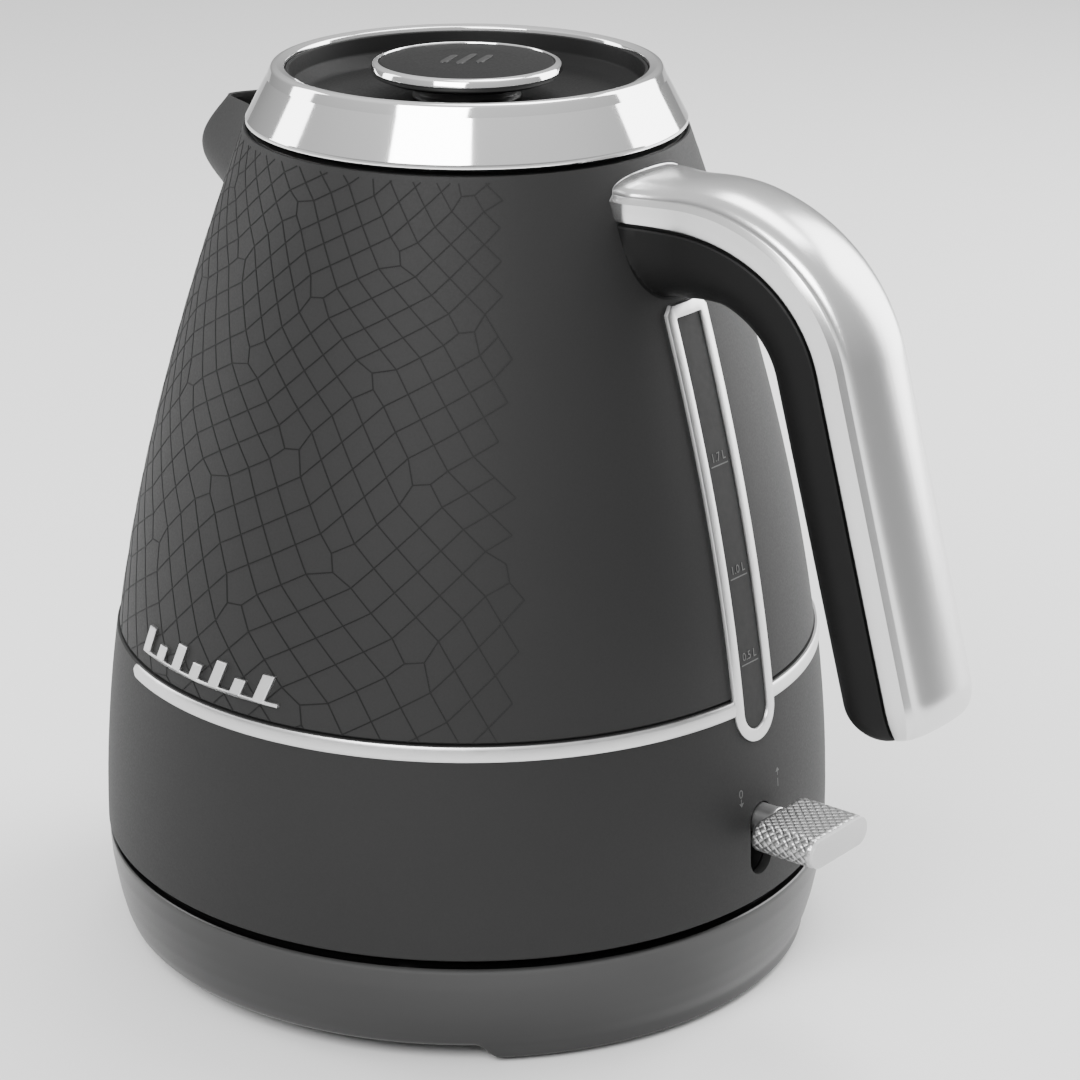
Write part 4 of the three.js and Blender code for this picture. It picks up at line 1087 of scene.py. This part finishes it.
def make_lid():
    low, high = box("lid_ring")
    z0, z1 = low[2], high[2]
    r0, r1, inner = radius("lid_ring"), 51.5 * MM, 47 * MM
    dish_z = z1 - 9.3 * MM
    ring = [
        (inner + 4 * MM, z0 + 3 * MM),
        (r0 - 2.2 * MM, z0 + 0.6 * MM),
        (r0 - 1.6 * MM, z0, 0.3 * MM),
        (r0, z0, 0.5 * MM),
        (r0 - 0.15 * MM, z0 + 1.3 * MM, 0.6 * MM),
        (r1 + 0.2 * MM, z1 - 3.2 * MM, 1.4 * MM),
        (r1 - 1.0 * MM, z1 - 0.3 * MM, 2.2 * MM),
        (r1 - 2.4 * MM, z1, 0.8 * MM),
        (inner + 0.1 * MM, z1 - 0.5 * MM, 0.5 * MM),
        (inner - 0.1 * MM, z1 - 1.6 * MM, 0.3 * MM),
        (inner, dish_z - 2 * MM),
        (inner + 1.5 * MM, dish_z - 2 * MM),
    ]
    lathe("lid_rim", ring, CHROME, "lid", "chrome", ["lid_ring"], segments=288)
    dish_foot = foot("lid_dish")
    dish = [
        (0, dish_foot),
        (51 * MM, dish_foot),
        (53 * MM, dish_foot + 0.4 * MM),
        (50 * MM, dish_foot + 2.6 * MM),
        (inner - 0.4 * MM, dish_foot + 3.4 * MM),
        (inner - 0.2 * MM, top("lid_dish") - 0.3 * MM, 0.2 * MM),
        (inner - 1.0 * MM, top("lid_dish") - 0.5 * MM, 0.3 * MM),
        (inner - 1.5 * MM, dish_z + 3.5 * MM, 1.5 * MM),
        (inner - 4.5 * MM, dish_z + 0.4 * MM, 2.5 * MM),
        (26 * MM, dish_z - 0.1 * MM),
        (0, dish_z - 0.1 * MM),
    ]
    lathe("lid_bowl", dish, DISH, "lid", "dark_plastic", ["lid_dish"], segments=192)
    ring_low, ring_high = foot("knob_ring"), top("knob_ring")
    knob = radius("knob_ring")
    hoop = [
        (18 * MM, ring_low),
        (knob - 2.4 * MM, ring_low, 0.8 * MM),
        (knob - 0.2 * MM, ring_low + 0.9 * MM, 1.0 * MM),
        (knob, ring_low + 2.1 * MM, 0.8 * MM),
        (knob - 0.5 * MM, ring_high - 0.5 * MM, 0.9 * MM),
        (knob - 1.9 * MM, ring_high, 0.5 * MM),
        (knob - 2.1 * MM, ring_high - 0.5 * MM),
        (knob - 2.1 * MM, ring_high - 2 * MM),
        (18 * MM, ring_high - 2 * MM),
    ]
    lathe("knob_hoop", hoop, CHROME, "lid", "chrome", ["knob_ring"], segments=192)
    cap_top, cap_r = top("knob_cap"), radius("knob_cap")
    cap = [
        (0, foot("knob_cap")),
        (cap_r - 0.3 * MM, foot("knob_cap")),
        (cap_r - 0.15 * MM, cap_top - 1.3 * MM, 0.3 * MM),
        (cap_r - 0.8 * MM, cap_top - 0.8 * MM, 0.4 * MM),
        (cap_r * 0.6, cap_top - 0.42 * MM, 2 * MM),
        (0, cap_top - 0.36 * MM),
    ]
    lathe("knob_face", cap, DISH, "lid", "dark_plastic", ["knob_cap"], segments=192)
    stem = [
        (0, foot("knob_stem")),
        (14.6 * MM, foot("knob_stem"), 0.8 * MM),
        (13.4 * MM, foot("knob_stem") + 1.5 * MM, 1.2 * MM),
        (13 * MM, ring_low - 1.3 * MM, 1 * MM),
        (17 * MM, ring_low - 0.15 * MM, 1 * MM),
        (22.3 * MM, ring_low - 0.1 * MM),
        (0, ring_low - 0.1 * MM),
    ]
    lathe("knob_neck", stem, BLACK, "lid", "black_plastic", ["knob_stem"], segments=144)


make_lid()


def make_cap_ornament():
    """Three raised slanted bars on the knob's face."""
    z0 = top("knob_cap") - 0.5 * MM
    facing = CAMERA_ANGLE + math.pi / 2
    c, s = math.cos(facing), math.sin(facing)
    vertices, faces = [], []
    for k, length in enumerate((9, 12, 9)):
        middle = (k - 1) * 4.6 * MM
        outline = stadium(length * MM / 2, 1.8 * MM, count=8)
        base = len(vertices)
        for lift, shrink in [(0, 1.04), (0.42, 1.0), (0.5, 0.86)]:
            for a, b in outline:
                across = middle + b * shrink + 0.35 * a
                up = a * shrink
                x, y = across * c - up * s, across * s + up * c
                fall = 0.1 * MM * (math.hypot(x, y) / (14 * MM)) ** 2
                vertices.append((x, y, z0 + min(lift * MM, 0.34 * MM + 0.1 * MM * (lift > 0.45)) - fall))
        n = len(outline)
        faces += [tuple(base + i for i in face) for face in grid_faces(3, n, wrap_columns=True)]
        faces += [tuple(base + 2 * n + i for i in range(n)), tuple(base + i for i in reversed(range(n)))]
    piece("cap_ornament", vertices, faces, BLACK, "lid", "dark_plastic")


make_cap_ornament()

# ---------------------------------------------------------------- power base

SKIRT_PROFILE = [
    (0, 94.2), (3.6, 94.5), (5.4, 95.2), (7.2, 95.9), (12, 97.1),
    (16.8, 98.0), (21.6, 98.75), (27.0, 99.15), (27.8, 99.1),
]
SKIRT_HEIGHTS = [foot("base_skirt") + a * MM for a, _ in SKIRT_PROFILE]
SKIRT_RADII = [r * MM for _, r in SKIRT_PROFILE]


def skirt_at(z):
    return float(np.interp(z, SKIRT_HEIGHTS, SKIRT_RADII))


def make_skirt():
    """The metal skirt, whose lower edge is deeper under the handle."""
    low, high = foot("base_skirt"), top("base_skirt")
    rise, wall = 4 * MM, 2.2 * MM
    vertices = []
    count = 360
    inner_turn, outer_turn = math.radians(45.7), math.radians(49.4)
    for i in range(count):
        angle = TAU * i / count - math.pi
        edge = low + rise * smooth((abs(angle) - inner_turn) / (outer_turn - inner_turn))
        ring = [(skirt_at(edge) - 1.2 * MM, edge), (skirt_at(edge) - 0.35 * MM, edge)]
        ring += [(skirt_at(edge) - 0.05 * MM, edge + 0.3 * MM)]
        ring += [(skirt_at(z), z) for z in spread(edge + 0.7 * MM, high - 0.8 * MM, 30)]
        ring += [(skirt_at(high) - 0.15 * MM, high - 0.25 * MM), (skirt_at(high) - 0.5 * MM, high)]
        ring += [(skirt_at(high) - wall, high), (skirt_at(high) - wall, high - 2 * MM)]
        ring += [(skirt_at(edge) - wall, edge + 2 * MM), (skirt_at(edge) - wall + 0.3 * MM, edge)]
        vertices += [(r * math.cos(angle), r * math.sin(angle), z) for r, z in ring]
    faces = grid_faces(count, len(ring), wrap_rows=True, wrap_columns=True)
    skirt = piece("skirt", vertices, faces, SKIRT, "power_base", "skirt_metal", ["base_skirt"])
    outlet = [(5.2 * MM * math.cos(a), 12 * MM + 5.2 * MM * math.sin(a)) for a in spread(0, TAU, 32)[:-1]]
    cut(skirt, [prism(outlet, -0.104, -0.085)])


make_skirt()


def make_base():
    high = top("base_top_plate")
    edge = radius("base_top_plate")
    shoulder = 19.4 * MM
    plate = [
        (shoulder + 0.4 * MM, high - 2.5 * MM),
        (edge - 2 * MM, high - 2.5 * MM),
        (edge - 0.4 * MM, high - 2.2 * MM),
        (edge - 0.2 * MM, high - 0.5 * MM, 0.4 * MM),
        (edge - 1 * MM, high, 0.5 * MM),
        (72 * MM, high, 1 * MM),
        (70.5 * MM, high - 0.9 * MM, 0.6 * MM),
        (58 * MM, high - 0.9 * MM, 0.6 * MM),
        (56.5 * MM, high, 1 * MM),
        (shoulder + 0.4 * MM, high, 0.3 * MM),
    ]
    lathe("base_deck", plate, BLACK, "power_base", "black_plastic", ["base_top_plate"])
    boss_r, boss_top = 13.6 * MM, top("base_connector_body")
    boss = [
        (25.3 * MM, high - 5.7 * MM),
        (25.3 * MM, high - 2.9 * MM),
        (shoulder, high - 2.9 * MM),
        (shoulder, high + 1.4 * MM, 0.5 * MM),
        (boss_r + 1.5 * MM, high + 1.4 * MM, 0.8 * MM),
        (boss_r, high + 2.4 * MM, 0.8 * MM),
        (boss_r, boss_top, 1.2 * MM),
        (9 * MM, boss_top, 0.4 * MM),
        (9 * MM, boss_top - 8 * MM),
        (6.2 * MM, boss_top - 8 * MM),
        (6.2 * MM, boss_top, 0.3 * MM),
        (3.2 * MM, boss_top, 0.3 * MM),
        (3.2 * MM, high),
        (0, high),
        (0, high - 5.7 * MM),
    ]
    lathe("base_boss", boss, BLACK, "power_base", "black_plastic", ["base_connector_body"], segments=96)
    socket_r = radius("kettle_connector")
    socket_low, socket_top = foot("kettle_connector"), top("kettle_connector")
    socket = [
        (14.1 * MM, socket_low, 0.5 * MM),
        (socket_r - 0.1 * MM, socket_low, 0.6 * MM),
        (socket_r - 0.1 * MM, socket_top - 0.2 * MM, 0.8 * MM),
        (0, socket_top - 0.2 * MM),
        (0, 43 * MM),
        (14.1 * MM, 43 * MM),
    ]
    lathe("socket_body", socket, BLACK, "connector", "black_plastic", ["kettle_connector"], segments=96)
    cover_low, cover_r = foot("bottom_cover"), radius("bottom_cover")
    cover = [
        (20.4 * MM, 31.7 * MM, 0.4 * MM),
        (60 * MM, 31.7 * MM, 0.4 * MM),
        (60.2 * MM, cover_low, 0.4 * MM),
        (63.8 * MM, cover_low, 0.4 * MM),
        (64 * MM, 31.7 * MM, 0.4 * MM),
        (cover_r - 0.2 * MM, 31.7 * MM, 0.4 * MM),
        (cover_r - 0.2 * MM, 33.6 * MM),
        (20.4 * MM, 33.6 * MM),
    ]
    lathe("underside_cover", cover, BLACK, "kettle", "black_plastic", ["bottom_cover"])


make_base()

# ---------------------------------------------------------------- the CAD pieces that are kept as they are

FINISHES = {
    "skirt_metal": SKIRT,
    "black_plastic": BLACK,
    "dark_plastic": GRIP,
    "rubber": RUBBER,
    "steel": STEEL,
    "contact_brass": BRASS,
    "charcoal_coating": CHARCOAL,
    "chrome": CHROME,
    "satin_chrome": SATIN,
    "smoked_window": WINDOW,
    "silicone": SILICONE,
    "aluminium": ALUMINIUM,
}

for subpart in frame["record"]["subparts"]:
    mesh = frame["nodes"][subpart["node"]].data
    mesh.materials.clear()
    mesh.materials.append(FINISHES[subpart["material_slot"]])

# ---------------------------------------------------------------- floor, lights and world


def softbox(name, turn, rise, distance, width, height, power, aim=0.12):
    """A soft panel of light at an angle round the kettle and above the table, facing it."""
    data = bpy.data.lights.new(name, "AREA")
    data.shape = "RECTANGLE"
    data.size, data.size_y = width, height
    data.energy = power
    light = bpy.data.objects.new(name, data)
    bpy.context.collection.objects.link(light)
    light.visible_camera = False
    turn, rise = math.radians(turn), math.radians(rise)
    offset = Vector((math.cos(turn) * math.cos(rise), math.sin(turn) * math.cos(rise), math.sin(rise)))
    light.location = Vector((0, 0, aim)) + offset * distance
    light.rotation_euler = (-offset).to_track_quat("-Z", "Y").to_euler()


def make_floor():
    """A plain pale floor, the same to every ray, which the object stands on and shades."""
    half = 6
    height = -0.0003
    mesh = bpy.data.meshes.new("floor")
    corners = [(-half, -half, height), (half, -half, height), (half, half, height), (-half, half, height)]
    mesh.from_pydata(corners, [], [(0, 1, 2, 3)])
    floor = bpy.data.objects.new("floor", mesh)
    bpy.context.collection.objects.link(floor)
    shader = Shader("pale_floor")
    shader.set(Base_Color=(0.8, 0.8, 0.8, 1), Roughness=0.9)
    shader.surface.inputs["Specular IOR Level"].default_value = 0.0
    mesh.materials.append(shader.material)


def make_world():
    """Soft studio light from all round, brighter above than at the sides."""
    world = bpy.data.worlds.new("world")
    bpy.context.scene.world = world
    world.use_nodes = True
    tree = world.node_tree
    studio = tree.nodes["Background"]
    where = tree.nodes.new("ShaderNodeTexCoord")
    axes = tree.nodes.new("ShaderNodeSeparateXYZ")
    ramp = tree.nodes.new("ShaderNodeValToRGB")
    ramp.color_ramp.elements[0].position = 0.0
    ramp.color_ramp.elements[0].color = (0.35, 0.35, 0.35, 1)
    ramp.color_ramp.elements[1].position = 0.9
    ramp.color_ramp.elements[1].color = (1.15, 1.15, 1.15, 1)
    tree.links.new(where.outputs["Generated"], axes.inputs[0])
    tree.links.new(axes.outputs["Z"], ramp.inputs["Fac"])
    tree.links.new(ramp.outputs["Color"], studio.inputs["Color"])


make_floor()
make_world()
softbox("front_panel", -72, 38, 1.3, 0.8, 0.6, 22)
softbox("right_panel", 68, 24, 1.3, 0.9, 1.3, 26)
softbox("left_panel", -160, 20, 1.3, 0.4, 1.0, 8)
softbox("top_panel", 90, 70, 1.2, 0.8, 0.5, 10)
